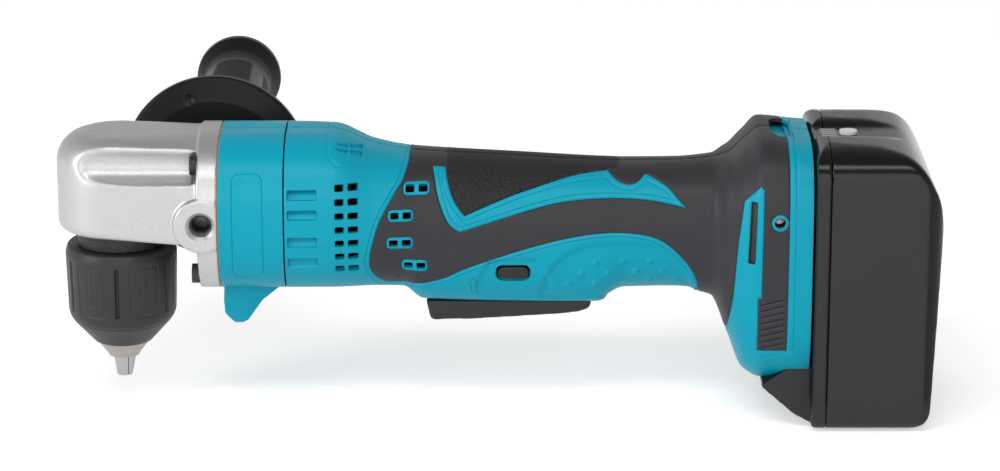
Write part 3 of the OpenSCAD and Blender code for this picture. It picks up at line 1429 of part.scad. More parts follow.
x_release = x_battery - hump_tip + release_len / 2;
z_release = -0.965 * foot_bottom - 1.6 * battery_gap - release_h;
module battery_cover() color("black") at_axis() difference() {
    union() {
        intersection() {
            battery_form(0);
            block([x_battery - overrun, -2 * battery_half_w, -2 * battery_bottom],
                [x_battery_seam, 2 * battery_half_w, 2 * battery_top]);
        }
        block([x_channel, -rail_half_w, -channel_bottom_share * foot_bottom * hump_top_share - battery_gap],
            [x_channel + rail_t - part_gap, rail_half_w, channel_top_share * foot_top - part_gap]);
        block([x_channel, -rail_neck_half_w, -hump_top_share * foot_bottom - battery_gap],
            [x_battery + overrun, rail_neck_half_w, channel_top_share * foot_top - part_gap]);
        side_prism(hump_outline(), -hump_half_w, hump_half_w);
    }
    battery_hollow();
    // Slots for the terminal blades, open at the top
    for (y = [-blade_off, blade_off])
        block([x_channel - overrun, y - blade_t / 2 - part_gap,
            0.4 * block_bottom_share * motor_r - part_gap],
            [x_channel + blade_len + part_gap, y + blade_t / 2 + part_gap, foot_top]);
    gauge_channel();
    // Pocket of the release button and its travel
    block([x_battery - hump_tip - overrun, -release_half_w - part_gap, z_release - part_gap],
        [x_release + release_len / 2 + release_travel + part_gap, release_half_w + part_gap,
            z_release + release_h + part_gap]);
    block([x_release - part_gap, -latch_half_w - part_gap, z_release],
        [x_release + latch_t + release_travel + part_gap, latch_half_w + part_gap, 0.5 * z_release]);
}

module battery_release_button() color("dimgray") at_axis() {
    intersection() {
        block([x_battery - hump_tip, -release_half_w, z_release],
            [x_release + release_len / 2, release_half_w, z_release + release_h]);
        side_prism(hump_outline(), -hump_half_w, hump_half_w);
    }
    block([x_release, -latch_half_w, z_release + release_h - overrun],
        [x_release + latch_t, latch_half_w, z_release + release_h + latch_h + 2 * battery_gap]);
}

module battery_latch_spring() color("silver") at_axis()
    translate([x_release + release_len / 2, 0, z_release + release_h / 2]) rotate([0, 90, 0])
        coil(0.28 * release_h, spring_wire_r + run_gap, release_travel + part_gap - spring_wire_r - run_gap);

module battery_cells() color("royalblue") at_axis() {
    x_first = x_battery + battery_wall + board_t + 2 * cell_gap + cell_r;
    z_first = -battery_bottom + battery_wall + cell_gap + cell_r;
    for (column = [0, 1], row = [0 : 4])
        translate([x_first + column * (2 * cell_r + cell_gap), 0, z_first + row * (2 * cell_r + cell_gap)])
            rod_y(-cell_len / 2, cell_len / 2, cell_r);
}

module battery_board() color("darkgreen") at_axis()
    block([x_battery + battery_wall, -rail_neck_half_w, -0.5 * battery_bottom],
        [x_battery + battery_wall + board_t, rail_neck_half_w, 0.4 * battery_top]);

gear_housing();
head_screws();
bearing_box();
spindle();
spindle_lower_bearing();
spindle_upper_bearing();
bevel_gear();
bevel_pinion();
pinion_bearing();
planet_gear_1();
planet_gear_2();
planet_gear_3();
ring_gear();
head_gasket();
gear_case();
lamp_lens();
lamp_board();
motor_pinion();
armature_shaft();
armature_core();
armature_windings();
commutator();
fan();
motor_front_bearing();
motor_rear_bearing();
motor_yoke();
motor_magnets();
brush_holders();
carbon_brushes();
motor_bracket();
housing_left();
housing_right();
grip_left();
grip_right();
housing_screws();
trigger();
trigger_pin();
trigger_spring();
switch_body();
switch_plunger();
direction_lever();
terminal_block();
hook_nuts();
lead_wires();
chuck_body();
chuck_sleeve();
chuck_nut();
chuck_jaw_1();
chuck_jaw_2();
chuck_jaw_3();
chuck_screw();
side_handle_grip();
side_handle_stud();
battery_case();
battery_cover();
battery_cells();
battery_board();
battery_release_button();
battery_latch_spring();
gauge_button();
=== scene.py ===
"""Looks of a cordless right angle drill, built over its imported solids.

Shapes are worked out in millimetres about the motor axis (z = 0 on the axis) and are lifted to
the part's frame, in metres, when they become meshes.
"""
import contextlib
import json
import math

import bmesh
import bpy
import numpy as np
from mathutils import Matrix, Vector, geometry, kdtree


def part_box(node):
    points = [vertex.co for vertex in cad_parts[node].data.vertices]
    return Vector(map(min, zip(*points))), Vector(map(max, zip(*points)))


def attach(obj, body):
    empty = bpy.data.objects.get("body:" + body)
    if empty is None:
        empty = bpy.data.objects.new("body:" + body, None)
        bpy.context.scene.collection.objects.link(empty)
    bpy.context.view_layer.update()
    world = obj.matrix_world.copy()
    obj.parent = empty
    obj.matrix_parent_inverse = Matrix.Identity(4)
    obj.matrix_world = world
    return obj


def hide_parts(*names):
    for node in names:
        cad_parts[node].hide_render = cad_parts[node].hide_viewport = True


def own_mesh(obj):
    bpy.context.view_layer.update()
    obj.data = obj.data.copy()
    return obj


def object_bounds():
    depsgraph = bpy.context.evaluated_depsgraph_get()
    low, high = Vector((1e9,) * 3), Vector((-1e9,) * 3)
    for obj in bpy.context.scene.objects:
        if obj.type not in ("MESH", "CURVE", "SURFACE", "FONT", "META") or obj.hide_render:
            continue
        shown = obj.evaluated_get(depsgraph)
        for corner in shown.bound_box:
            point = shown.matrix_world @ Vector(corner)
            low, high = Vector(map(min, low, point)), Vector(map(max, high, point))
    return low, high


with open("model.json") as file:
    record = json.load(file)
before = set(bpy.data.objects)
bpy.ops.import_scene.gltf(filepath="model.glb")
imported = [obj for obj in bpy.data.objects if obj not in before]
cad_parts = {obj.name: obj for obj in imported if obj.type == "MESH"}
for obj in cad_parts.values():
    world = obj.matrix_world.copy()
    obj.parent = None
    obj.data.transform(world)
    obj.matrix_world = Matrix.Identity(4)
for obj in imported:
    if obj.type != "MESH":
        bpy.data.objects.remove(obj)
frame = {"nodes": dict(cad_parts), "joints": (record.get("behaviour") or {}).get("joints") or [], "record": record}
cad_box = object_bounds()

MM = 0.001


def joint_named(name):
    """Joint of the part by its name."""
    return next(j for j in frame["joints"] if j["name"] == name)


AXIS = joint_named("motor_spin")["pos_m"][2] / MM


def span(node, axis):
    """Lowest and highest value of a node along an axis, in millimetres about the motor axis."""
    low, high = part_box(node)
    lift = AXIS if axis == 2 else 0
    return low[axis] / MM - lift, high[axis] / MM - lift


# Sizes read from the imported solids
X_HOUSING, X_FOOT = span("housing_left", 0)
BODY_LEN = X_FOOT - X_HOUSING
X_CASE, X_CASE_BACK = span("gear_case", 0)
MOTOR_R = span("gear_case", 2)[1]
MOTOR_HALF_W = span("gear_case", 1)[1]
TRIGGER = [span("trigger", axis) for axis in range(3)]
LEVER = [span("direction_lever", axis) for axis in range(3)]
X_BATTERY_BACK = span("battery_case", 0)[1]
BATTERY_LOW, BATTERY_TOP = span("battery_case", 2)
BATTERY_HALF_W = span("battery_case", 1)[1]

# Sizes of the housing's form
GRIP_TOP = 18.7
GRIP_BOTTOM = 34.7
GRIP_HALF_W = 24
GRIP_MID = 8
FOOT_TOP = 30
FOOT_BOTTOM = 62
FOOT_HALF_W = 35.6
CREST = 0.3
CREST_END = 0.1
CREST_FADE = 0.04

# Least length to divide by, and the angle below which edges are smooth
TINY = 1e-9
SMOOTH_ANGLE = 35


# Meshes and objects

def linked(name, data):
    """New object in the scene."""
    obj = bpy.data.objects.new(name, data)
    bpy.context.scene.collection.objects.link(obj)
    return obj


def new_object(name, mesh, body, material, replaced=()):
    """Links a mesh as a piece that rides on a body and may stand for solids."""
    obj = linked(name, mesh)
    mesh.materials.clear()
    mesh.materials.append(material)
    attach(obj, body)
    if replaced:
        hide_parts(*replaced)
    return obj


def make_mesh(name, points, faces, smooth_angle=SMOOTH_ANGLE):
    """Mesh from points in millimetres about the motor axis."""
    mesh = bpy.data.meshes.new(name)
    lifted = (np.asarray(points, float).reshape(-1, 3) + (0, 0, AXIS)) * MM
    mesh.from_pydata(lifted.tolist(), [], [list(f) for f in faces])
    shade(mesh, smooth_angle)
    return mesh


def shade(mesh, smooth_angle):
    """Smooth shading, with sharp edges above an angle."""
    mesh.validate()
    mesh.shade_smooth()
    mesh.set_sharp_from_angle(angle=math.radians(smooth_angle))


def set_attribute(mesh, name, values):
    """Stores one number for each point of a mesh, for its material to read."""
    attribute = mesh.attributes.new(name, "FLOAT", "POINT")
    attribute.data.foreach_set("value", np.asarray(values, np.float32))


def mesh_points(mesh):
    """Points of a mesh in millimetres about the motor axis, and their normals."""
    points, normals = np.empty(3 * len(mesh.vertices)), np.empty(3 * len(mesh.vertices))
    mesh.vertices.foreach_get("co", points)
    mesh.vertices.foreach_get("normal", normals)
    return points.reshape(-1, 3) / MM - (0, 0, AXIS), normals.reshape(-1, 3)


def place_points(mesh, points):
    """Moves the points of a mesh to places in millimetres about the motor axis."""
    mesh.vertices.foreach_set("co", ((points + (0, 0, AXIS)) * MM).ravel())
    mesh.update()


@contextlib.contextmanager
def edited(mesh):
    """Opens a mesh for editing and writes it back afterwards."""
    form = bmesh.new()
    form.from_mesh(mesh)
    yield form
    form.to_mesh(mesh)
    form.free()


# Curves in a plane

LINE_STEP = 0.7


def spline(points, step=LINE_STEP, closed=False):
    """Smooth curve through points, sampled about every step."""
    pts = np.asarray(points, float)
    n = len(pts)
    out = []
    for i in range(n if closed else n - 1):
        around = [(i + k) % n if closed else min(max(i + k, 0), n - 1) for k in (-1, 0, 1, 2)]
        p, q, r, s = pts[around]
        count = max(2, int(np.linalg.norm(r - q) / step))
        for k in range(count):
            t = k / count
            square = (2 * p - 5 * q + 4 * r - s) * t**2
            cube = (3 * q - p - 3 * r + s) * t**3
            out.append(0.5 * (2 * q + (r - p) * t + square + cube))
    if not closed:
        out.append(pts[-1])
    return np.array(out)


def polyline(points, step=LINE_STEP, closed=True):
    """Straight-sided line through points, sampled about every step."""
    pts = np.asarray(points, float)
    ends = np.roll(pts, -1, axis=0) if closed else pts[1:]
    out = []
    for p, q in zip(pts, ends):
        count = max(1, int(np.ceil(np.linalg.norm(q - p) / step)))
        out += [p + (q - p) * k / count for k in range(count)]
    if not closed:
        out.append(pts[-1])
    return np.array(out)


def rounded_box(x0, z0, x1, z1, radius, step=0.5):
    """Rectangle with round corners."""
    radius = min(radius, (x1 - x0) / 2, (z1 - z0) / 2)
    count = max(3, int(radius * math.pi / 2 / step))
    out = []
    corners = [(x1 - radius, z0 + radius, -90), (x1 - radius, z1 - radius, 0),
               (x0 + radius, z1 - radius, 90), (x0 + radius, z0 + radius, 180)]
    for cx, cz, turn in corners:
        for k in range(count + 1):
            a = math.radians(turn + 90 * k / count)
            out.append((cx + radius * math.cos(a), cz + radius * math.sin(a)))
    return polyline(out, 2 * step)


def circle(x, z, radius, count=20):
    """Points round a circle."""
    a = np.linspace(0, 2 * math.pi, count, endpoint=False)
    return np.stack([x + radius * np.cos(a), z + radius * np.sin(a)], 1)


def offset_line(points, distance, closed=True):
    """Line moved sideways by a distance."""
    p = np.asarray(points, float)
    if closed:
        d = np.roll(p, -1, 0) - np.roll(p, 1, 0)
    else:
        d = np.gradient(p, axis=0)
    d /= np.maximum(np.linalg.norm(d, axis=1), TINY)[:, None]
    return p + distance * np.stack([-d[:, 1], d[:, 0]], 1)


def inside(points, polygon):
    """Which points lie in a polygon, both in a plane."""
    x, z = points[:, 0], points[:, 1]
    hit = np.zeros(len(points), bool)
    px, pz = polygon[:, 0], polygon[:, 1]
    qx, qz = np.roll(px, -1), np.roll(pz, -1)
    for ax, az, bx, bz in zip(px, pz, qx, qz):
        if az == bz:
            continue
        crossing = (az > z) != (bz > z)
        hit ^= crossing & (x < (bx - ax) * (z - az) / (bz - az) + ax)
    return hit


# Housing form: sections along the body, blended without overshoot

N_MOTOR, N_GRIP, N_LIP, N_FOOT = 2.6, 2.4, 3.4, 4
SECTION_SHARES = [0, 0.09, 0.165, 0.222, 0.262, 0.455, 0.594, 0.648, 0.742, 0.815, 0.846, 0.877,
                  0.909, 1]
# Top, bottom, widest line, half width and the roundness of the upper and lower half
SECTIONS = np.array([
    (MOTOR_R, -MOTOR_R, 0, MOTOR_HALF_W, N_MOTOR, N_MOTOR),
    (0.985 * MOTOR_R, -MOTOR_R, 0, 0.985 * MOTOR_HALF_W, N_MOTOR, N_MOTOR),
    (1.27 * GRIP_TOP, -MOTOR_R, -0.25 * GRIP_MID, 1.15 * GRIP_HALF_W, N_GRIP, N_GRIP),
    (1.145 * GRIP_TOP, -0.86 * GRIP_BOTTOM, -0.4 * GRIP_MID, 1.085 * GRIP_HALF_W, N_GRIP, N_GRIP),
    (1.11 * GRIP_TOP, -0.965 * GRIP_BOTTOM, -0.65 * GRIP_MID, 1.05 * GRIP_HALF_W, N_GRIP, N_LIP),
    (GRIP_TOP, -GRIP_BOTTOM, -GRIP_MID, GRIP_HALF_W, N_GRIP, N_LIP),
    (0.92 * GRIP_TOP, -1.01 * GRIP_BOTTOM, -GRIP_MID, 0.95 * GRIP_HALF_W, N_GRIP, N_LIP),
    (0.905 * GRIP_TOP, -0.91 * GRIP_BOTTOM, -GRIP_MID, 0.917 * GRIP_HALF_W, N_GRIP, N_GRIP),
    (0.915 * GRIP_TOP, -0.9 * GRIP_BOTTOM, -GRIP_MID, 0.9 * GRIP_HALF_W, N_GRIP, N_GRIP),
    (0.61 * FOOT_TOP, -0.54 * FOOT_BOTTOM, -GRIP_MID, 0.66 * FOOT_HALF_W, N_GRIP, N_GRIP),
    (0.67 * FOOT_TOP, -0.74 * FOOT_BOTTOM, -1.5 * GRIP_MID, 0.79 * FOOT_HALF_W, N_LIP, N_LIP),
    (0.85 * FOOT_TOP, -0.965 * FOOT_BOTTOM, -1.9 * GRIP_MID, 0.93 * FOOT_HALF_W, N_LIP, N_LIP),
    (FOOT_TOP, -FOOT_BOTTOM, -1.9 * GRIP_MID, FOOT_HALF_W, N_FOOT, N_FOOT),
    (0.95 * FOOT_TOP, -FOOT_BOTTOM, -1.9 * GRIP_MID, FOOT_HALF_W, N_FOOT, N_FOOT),
])
SECTION_X = X_HOUSING + BODY_LEN * np.array(SECTION_SHARES)


def smooth_table(places, values, x):
    """Values between places, smooth and without overshoot."""
    rise = np.diff(values) / np.diff(places)
    slope = np.zeros(len(values))
    for i in range(1, len(values) - 1):
        if rise[i - 1] * rise[i] > 0:
            slope[i] = 2 * rise[i - 1] * rise[i] / (rise[i - 1] + rise[i])
    i = np.clip(np.searchsorted(places, x, "right") - 1, 0, len(places) - 2)
    w = places[i + 1] - places[i]
    t = (x - places[i]) / w
    return (values[i] * (1 + 2 * t) * (1 - t)**2 + slope[i] * w * t * (1 - t)**2
            + values[i + 1] * t**2 * (3 - 2 * t) + slope[i + 1] * w * t**2 * (t - 1))


# How finely a side is sampled, and how far beside a point its normal is felt
ARC_SAMPLES = 1441
SIDE_ROWS = 241
LAST_CELL = 1.000001
NORMAL_REACH = 0.6


class Side:
    """Near side of a lofted form, spread flat: x along the body and t from its top to its bottom."""

    def __init__(self, x0, x1, profile, columns, crest):
        self.x = np.linspace(x0, x1, columns)
        self.t = np.linspace(0, 1, SIDE_ROWS)
        top, bottom, mid, half_w, n_top, n_bottom = (c[:, None] for c in profile(self.x))
        a = np.radians(np.linspace(90, 270, ARC_SAMPLES))[None, :]
        upper = np.sin(a) >= 0
        n = np.where(upper, n_top, n_bottom)
        y = -half_w * np.abs(np.cos(a))**(2 / n)
        z = mid + np.where(upper, top - mid, bottom - mid) * np.abs(np.sin(a))**(2 / n)
        z = np.minimum(z, top - crest(self.x)[:, None])
        steps = np.hypot(np.diff(y), np.diff(z))
        length = np.concatenate([np.zeros((columns, 1)), np.cumsum(steps, 1)], 1)
        girth = length[:, -1]
        self.y, self.z = (
            np.array([np.interp(self.t * g, run, row) for g, run, row in zip(girth, length, rows)])
            for rows in (y, z))
        self.width = float(girth.mean())

    def column(self, x):
        """Place of x among the columns, as a number with a fraction."""
        return np.clip((x - self.x[0]) / (self.x[1] - self.x[0]), 0, len(self.x) - LAST_CELL)

    def point(self, x, t):
        """Points on the side."""
        u = self.column(x)
        v = np.clip(t * (len(self.t) - 1), 0, len(self.t) - LAST_CELL)
        i, j, u, v = u.astype(int), v.astype(int), u % 1, v % 1
        out = []
        for table in (self.y, self.z):
            low = table[i, j] * (1 - v) + table[i, j + 1] * v
            high = table[i + 1, j] * (1 - v) + table[i + 1, j + 1] * v
            out.append(low * (1 - u) + high * u)
        return np.stack([x, out[0], out[1]], 1)

    def normal(self, x, t):
        """Outward normals, from points a little way off."""
        ends = np.clip([x - NORMAL_REACH, x + NORMAL_REACH], self.x[0], self.x[-1])
        along = self.point(ends[1], t) - self.point(ends[0], t)
        s = NORMAL_REACH / self.width
        ends = np.clip([t - s, t + s], 0, 1)
        down = self.point(x, ends[1]) - self.point(x, ends[0])
        n = np.cross(down, along)
        return n / np.maximum(np.linalg.norm(n, axis=1), TINY)[:, None]

    def spread(self, points):
        """Flat places of points that are seen from the side."""
        points = np.asarray(points, float)
        t = []
        for x, z in points:
            u = self.column(x)
            i, f = int(u), u % 1
            row = self.z[i] * (1 - f) + self.z[i + 1] * f
            t.append(np.interp(-z, -row, self.t))
        return np.stack([points[:, 0], np.array(t)], 1)


def housing_profile(x):
    """Top, bottom, widest line, half width and roundness of the housing at places along it."""
    return [smooth_table(SECTION_X, SECTIONS[:, c], x) for c in range(SECTIONS.shape[1])]


def housing_crest(x):
    """Depth of the flat band along the top of the motor end."""
    return CREST * np.clip((X_HOUSING + CREST_END * BODY_LEN - x) / (CREST_FADE * BODY_LEN), 0, 1)


def share_points(shares):
    """Places on the side, from shares of the housing's length and of the motor end's half height."""
    return np.array([(X_HOUSING + sx * BODY_LEN, sz * MOTOR_R) for sx, sz in shares])


# Rows of points beside a line of a skin
EDGE_ROWS = (-0.8, -0.4, 0.4, 0.8)
NEAR_ROWS = (-0.4, 0.4)
HOLE_ROWS = (-0.35, 0.35)
# Seam round a region, easing at the parting line, and rims at the ends of a skin
SEAM_DEPTH, SEAM_HALF_W, SEAM_POWER = 0.42, 0.55, 1.5
PARTING_DEPTH, PARTING_W = 0.3, 0.6
END_RIM, END_NEAR = 1.6, 0.05
# Step of the search lines, clearance of loose points as a share of the step, and what counts as touching
SEARCH_STEP = 0.15
CLEAR_SHARE = 0.45
ON_EDGE = 1e-6
JOIN_GAP = 1e-4


class Skin:
    """Outer face of one side, with regions, holes, grooves and dents drawn on it."""

    def __init__(self, side, step):
        self.side = side
        self.step = step
        self.lines = []
        self.rows = []
        self.regions = []
        self.holes = []
        self.grooves = []
        self.dents = []

    def line(self, points, closed=True, beside=()):
        """Line that the triangles keep to, with rows of points beside it."""
        self.lines.append((points, closed))
        for distance in beside:
            self.rows.append(offset_line(points, distance, closed))

    def region(self, name, polygon, beside=EDGE_ROWS):
        """Part of the face with its own number, over earlier regions."""
        self.regions.append((name, polygon))
        self.line(polygon, True, beside)

    def hole(self, polygon, rim):
        """Opening with a rim that goes in by a depth."""
        self.holes.append((polygon, rim))
        self.line(polygon, True, HOLE_ROWS)

    def groove(self, points, closed, half_width, depth):
        """Groove of triangular section along a line."""
        self.grooves.append((points, closed, half_width, depth))
        self.line(points, closed, (-half_width, half_width))

    def dent(self, polygon, depth, slope, tilt=0):
        """Recess with sloped sides; a tilted one is shallower at its foot by that share."""
        self.dents.append((polygon, depth, slope, tilt))
        self.line(polygon, True, (-slope, slope, -slope / 2, slope / 2))

    def flat(self, points):
        """Flat places of points, with both numbers in millimetres."""
        out = self.side.spread(points)
        out[:, 1] *= self.side.width
        return out

    def triangulate(self):
        """Flat triangles that keep to every line, with points along the rows and a grid between."""
        side, width = self.side, self.side.width
        x0, x1 = side.x[0], side.x[-1]
        outline = polyline([(x0, 0), (x1, 0), (x1, width), (x0, width)], self.step)
        places = [tuple(p) for p in outline]
        pairs = [(k, (k + 1) % len(outline)) for k in range(len(outline))]
        for points, closed in self.lines:
            flat = self.flat(points)
            flat[:, 0] = np.clip(flat[:, 0], x0, x1)
            out = (flat[:, 1] <= ON_EDGE) | (flat[:, 1] >= width - ON_EDGE)
            out |= (flat[:, 0] <= x0 + ON_EDGE) | (flat[:, 0] >= x1 - ON_EDGE)
            first = len(places)
            places += [tuple(p) for p in flat]
            for k in range(len(flat) if closed else len(flat) - 1):
                after = (k + 1) % len(flat)
                if not (out[k] and out[after]):
                    pairs.append((first + k, first + after))
        near = kdtree.KDTree(len(places) + sum(len(r) for r in self.rows))
        for k, p in enumerate(places):
            near.insert((p[0], p[1], 0), k)
        loose = []
        count = len(places)
        for row in self.rows:
            for p in self.flat(row):
                near.insert((p[0], p[1], 0), count)
                count += 1
                if x0 < p[0] < x1 and 0 < p[1] < width:
                    loose.append(tuple(p))
        near.balance()
        for x in np.arange(x0 + self.step, x1 - self.step / 2, self.step):
            for s in np.arange(self.step, width - self.step / 2, self.step):
                if near.find((x, s, 0))[2] > CLEAR_SHARE * self.step:
                    loose.append((x, s))
        points = [Vector(p) for p in places + loose]
        found = geometry.delaunay_2d_cdt(points, pairs, [], 0, JOIN_GAP)
        flat = np.array([tuple(v) for v in found[0]])
        return flat[:, 0], np.clip(flat[:, 1] / width, 0, 1), np.array(found[2])

    def distances(self, base, polylines):
        """Distance of each point from the nearest of some lines, on the form's face."""
        dense = [polyline(p, SEARCH_STEP, closed) for p, closed in polylines]
        flat = self.side.spread(np.concatenate(dense))
        solid = self.side.point(flat[:, 0], flat[:, 1])
        tree = kdtree.KDTree(len(solid))
        for k, p in enumerate(solid):
            tree.insert(p, k)
        tree.balance()
        return np.array([tree.find(p)[2] for p in base])

    def build(self):
        """Points, triangles, normals, x and z of each point, and each triangle's region and hole."""
        x, t, faces = self.triangulate()
        base = self.side.point(x, t)
        normal = self.side.normal(x, t)
        plane = base[:, (0, 2)]
        depth = np.zeros(len(base))
        if self.regions:
            d = self.distances(base, [(polygon, True) for _, polygon in self.regions])
            depth = np.maximum(depth, SEAM_DEPTH * np.clip(1 - d / SEAM_HALF_W, 0, 1)**SEAM_POWER)
        for points, closed, half_width, deep in self.grooves:
            d = self.distances(base, [(points, closed)])
            depth = np.maximum(depth, deep * np.clip(1 - d / half_width, 0, 1))
        for polygon, deep, slope, tilt in self.dents:
            d = self.distances(base, [(polygon, True)]) * np.where(inside(plane, polygon), 1, -1)
            f = np.clip((d + slope / 2) / slope, 0, 1)
            low, high = polygon[:, 1].min(), polygon[:, 1].max()
            fall = 1 - tilt * np.clip((high - plane[:, 1]) / (high - low), 0, 1)
            depth = depth + deep * f * f * (3 - 2 * f) * fall
        rim = np.minimum(t, 1 - t) * self.side.width
        depth = np.maximum(depth, PARTING_DEPTH * np.clip(1 - rim / PARTING_W, 0, 1))
        middle = plane[faces].mean(1)
        names = np.zeros(len(faces), int)
        for name, polygon in self.regions:
            names[inside(middle, polygon)] = name
        hole = np.full(len(faces), -1)
        for k, (polygon, _) in enumerate(self.holes):
            hole[inside(middle, polygon)] = k
        return base - normal * depth[:, None], faces, normal, plane, names, hole


def face_edges(face):
    """Directed edges of a triangle."""
    return [(face[i], face[(i + 1) % 3]) for i in range(3)]


def skin_meshes(skin, name, mirrored, count, smooth_angle=SMOOTH_ANGLE):
    """One mesh for each region of a skin, with rims drawn in round its holes and ends."""
    points, faces, normal, plane, names, hole = skin.build()
    if mirrored:
        points = points * (1, -1, 1)
        normal = normal * (1, -1, 1)
        faces = faces[:, ::-1]
    # Faces look outwards
    a, b, c = (points[faces[:, k]] for k in range(3))
    if np.einsum("ij,ij->i", np.cross(b - a, c - a), normal[faces[:, 0]]).mean() < 0:
        faces = faces[:, ::-1]
    kept = hole < 0
    edge_of = {}
    for k in np.nonzero(kept)[0]:
        for edge in face_edges(faces[k]):
            edge_of.setdefault(edge, k)
    # Depth of the rim at each edge of a hole or an end
    beyond = {}
    for k in np.nonzero(~kept)[0]:
        for i, j in face_edges(faces[k]):
            beyond[(j, i)] = skin.holes[hole[k]][1]
    ends = skin.side.x[0], skin.side.x[-1]
    for i, j in edge_of:
        if (j, i) not in edge_of and (i, j) not in beyond:
            if any(max(abs(plane[i, 0] - x), abs(plane[j, 0] - x)) < END_NEAR for x in ends):
                beyond[(i, j)] = END_RIM
    meshes = []
    for region in range(count):
        chosen = [tuple(faces[k]) for k in np.nonzero(kept & (names == region))[0]]
        extra, low, quads = [], {}, []
        for (i, j), deep in beyond.items():
            k = edge_of.get((i, j))
            if k is None or names[k] != region:
                continue
            for v in (i, j):
                if (v, deep) not in low:
                    low[(v, deep)] = len(points) + len(extra)
                    extra.append(points[v] - normal[v] * deep)
            quads.append((j, i, low[(i, deep)], low[(j, deep)]))
        every = np.concatenate([points, np.array(extra).reshape(-1, 3)])
        every_plane = np.concatenate([plane, every[len(plane):][:, (0, 2)]])
        used = sorted({v for f in chosen + quads for v in f})
        place = {v: k for k, v in enumerate(used)}
        new_faces = [[place[v] for v in f] for f in chosen + quads]
        mesh = make_mesh("%s_%d" % (name, region), every[used], new_faces, smooth_angle)
        meshes.append((mesh, every_plane[used]))
    return meshes


# Materials

NOISE_ROUGHNESS = 0.55
# Middle range of the noise
NOISE_RANGE = (0.3, 0.7)
# Where a bent edge begins to wear and where it is worn through, as cosines
EDGE_BEND = (0.995, 0.93)


def feed(tree, socket, value):
    """Gives a socket of a node tree a constant or a link."""
    if isinstance(value, bpy.types.NodeSocket):
        tree.links.new(value, socket)
    else:
        socket.default_value = value


def add_node(tree, kind, values=None, **settings):
    """New node of a tree, with its settings and inputs."""
    node = tree.nodes.new(kind)
    for name, value in settings.items():
        setattr(node, name, value)
    for name, value in (values or {}).items():
        feed(tree, node.inputs[name], value)
    return node


class Look:
    """Material with a principled surface and helpers for its procedural inputs."""

    def __init__(self, name, colour, roughness, metallic=0):
        self.material = bpy.data.materials.new(name)
        self.material.use_nodes = True
        self.tree = self.material.node_tree
        self.surface = self.tree.nodes["Principled BSDF"]
        self.base = (*colour, 1)
        self.set("Base Color", self.base)
        self.set("Roughness", roughness)
        self.set("Metallic", metallic)
        self.place = self.add("ShaderNodeTexCoord").outputs["Object"]
        self.relief = None

    def set(self, name, value):
        """Gives an input of the surface a constant or a socket."""
        feed(self.tree, self.surface.inputs[name], value)

    def add(self, kind, values=None, **settings):
        """New node of the material."""
        return add_node(self.tree, kind, values, **settings)

    def noise(self, size, detail=3, stretch=(1, 1, 1)):
        """Noise with features of a size in millimetres."""
        values = {0: self.place, 1: stretch}
        place = self.add("ShaderNodeVectorMath", values, operation="MULTIPLY").outputs[0]
        values = {"Vector": place, "Scale": 1 / (size * MM), "Detail": detail, "Roughness": NOISE_ROUGHNESS}
        return self.add("ShaderNodeTexNoise", values).outputs["Fac"]

    def cells(self, size):
        """Rounded cells of a size in millimetres."""
        values = {"Vector": self.place, "Scale": 1 / (size * MM)}
        return self.add("ShaderNodeTexVoronoi", values, feature="SMOOTH_F1").outputs["Distance"]

    def waves(self, scale, direction):
        """Bands across a direction."""
        values = {"Vector": self.place, "Scale": scale}
        return self.add("ShaderNodeTexWave", values, bands_direction=direction).outputs["Fac"]

    def remap(self, value, low, high, out_low, out_high):
        """Stretches a range of values to another, and holds it there."""
        values = {"Value": value, "From Min": low, "From Max": high, "To Min": out_low, "To Max": out_high}
        return self.add("ShaderNodeMapRange", values).outputs["Result"]

    def times(self, a, b):
        """Product of two values."""
        return self.add("ShaderNodeMath", {0: a, 1: b}, operation="MULTIPLY").outputs[0]

    def attribute(self, name):
        """Number stored at the points of the mesh."""
        return self.add("ShaderNodeAttribute", attribute_name=name).outputs["Fac"]

    def mix(self, factor, a, b):
        """Colour between two others."""
        node = self.add("ShaderNodeMix", {0: factor, 6: a, 7: b}, data_type="RGBA")
        return node.outputs[2]

    def edges(self, width):
        """Mask of worn edges, from the bend of the surface within a width in millimetres."""
        bevel = self.add("ShaderNodeBevel", {"Radius": width * MM}, samples=4).outputs[0]
        flat = self.add("ShaderNodeNewGeometry").outputs["Normal"]
        values = {0: bevel, 1: flat}
        turn = self.add("ShaderNodeVectorMath", values, operation="DOT_PRODUCT").outputs["Value"]
        return self.remap(turn, *EDGE_BEND, 0, 1)

    def bump(self, height, depth, strength=1):
        """Adds relief with a depth in millimetres."""
        values = {"Height": height, "Distance": depth * MM, "Strength": strength}
        if self.relief:
            values["Normal"] = self.relief
        self.relief = self.add("ShaderNodeBump", values).outputs["Normal"]
        self.set("Normal", self.relief)

    def vary(self, amount, size):
        """Varies the roughness about its value, in patches of a size."""
        r = self.surface.inputs["Roughness"].default_value
        self.set("Roughness", self.remap(self.noise(size), *NOISE_RANGE, r - amount, r + amount))

    def tint(self, factor, colour):
        """Mixes another colour in by a factor."""
        socket = self.surface.inputs["Base Color"]
        now = socket.links[0].from_socket if socket.is_linked else self.base
        self.set("Base Color", self.mix(factor, now, (*colour, 1)))

    def blotch(self, noise, low, high, amount, colour):
        """Mixes another colour in where a noise is high."""
        self.tint(self.remap(noise, low, high, 0, amount), colour)

    def wear(self, width, size, low, high, least, most, colour):
        """Mixes another colour in along edges, in patches of a size."""
        self.tint(self.times(self.edges(width), self.remap(self.noise(size), low, high, least, most)), colour)


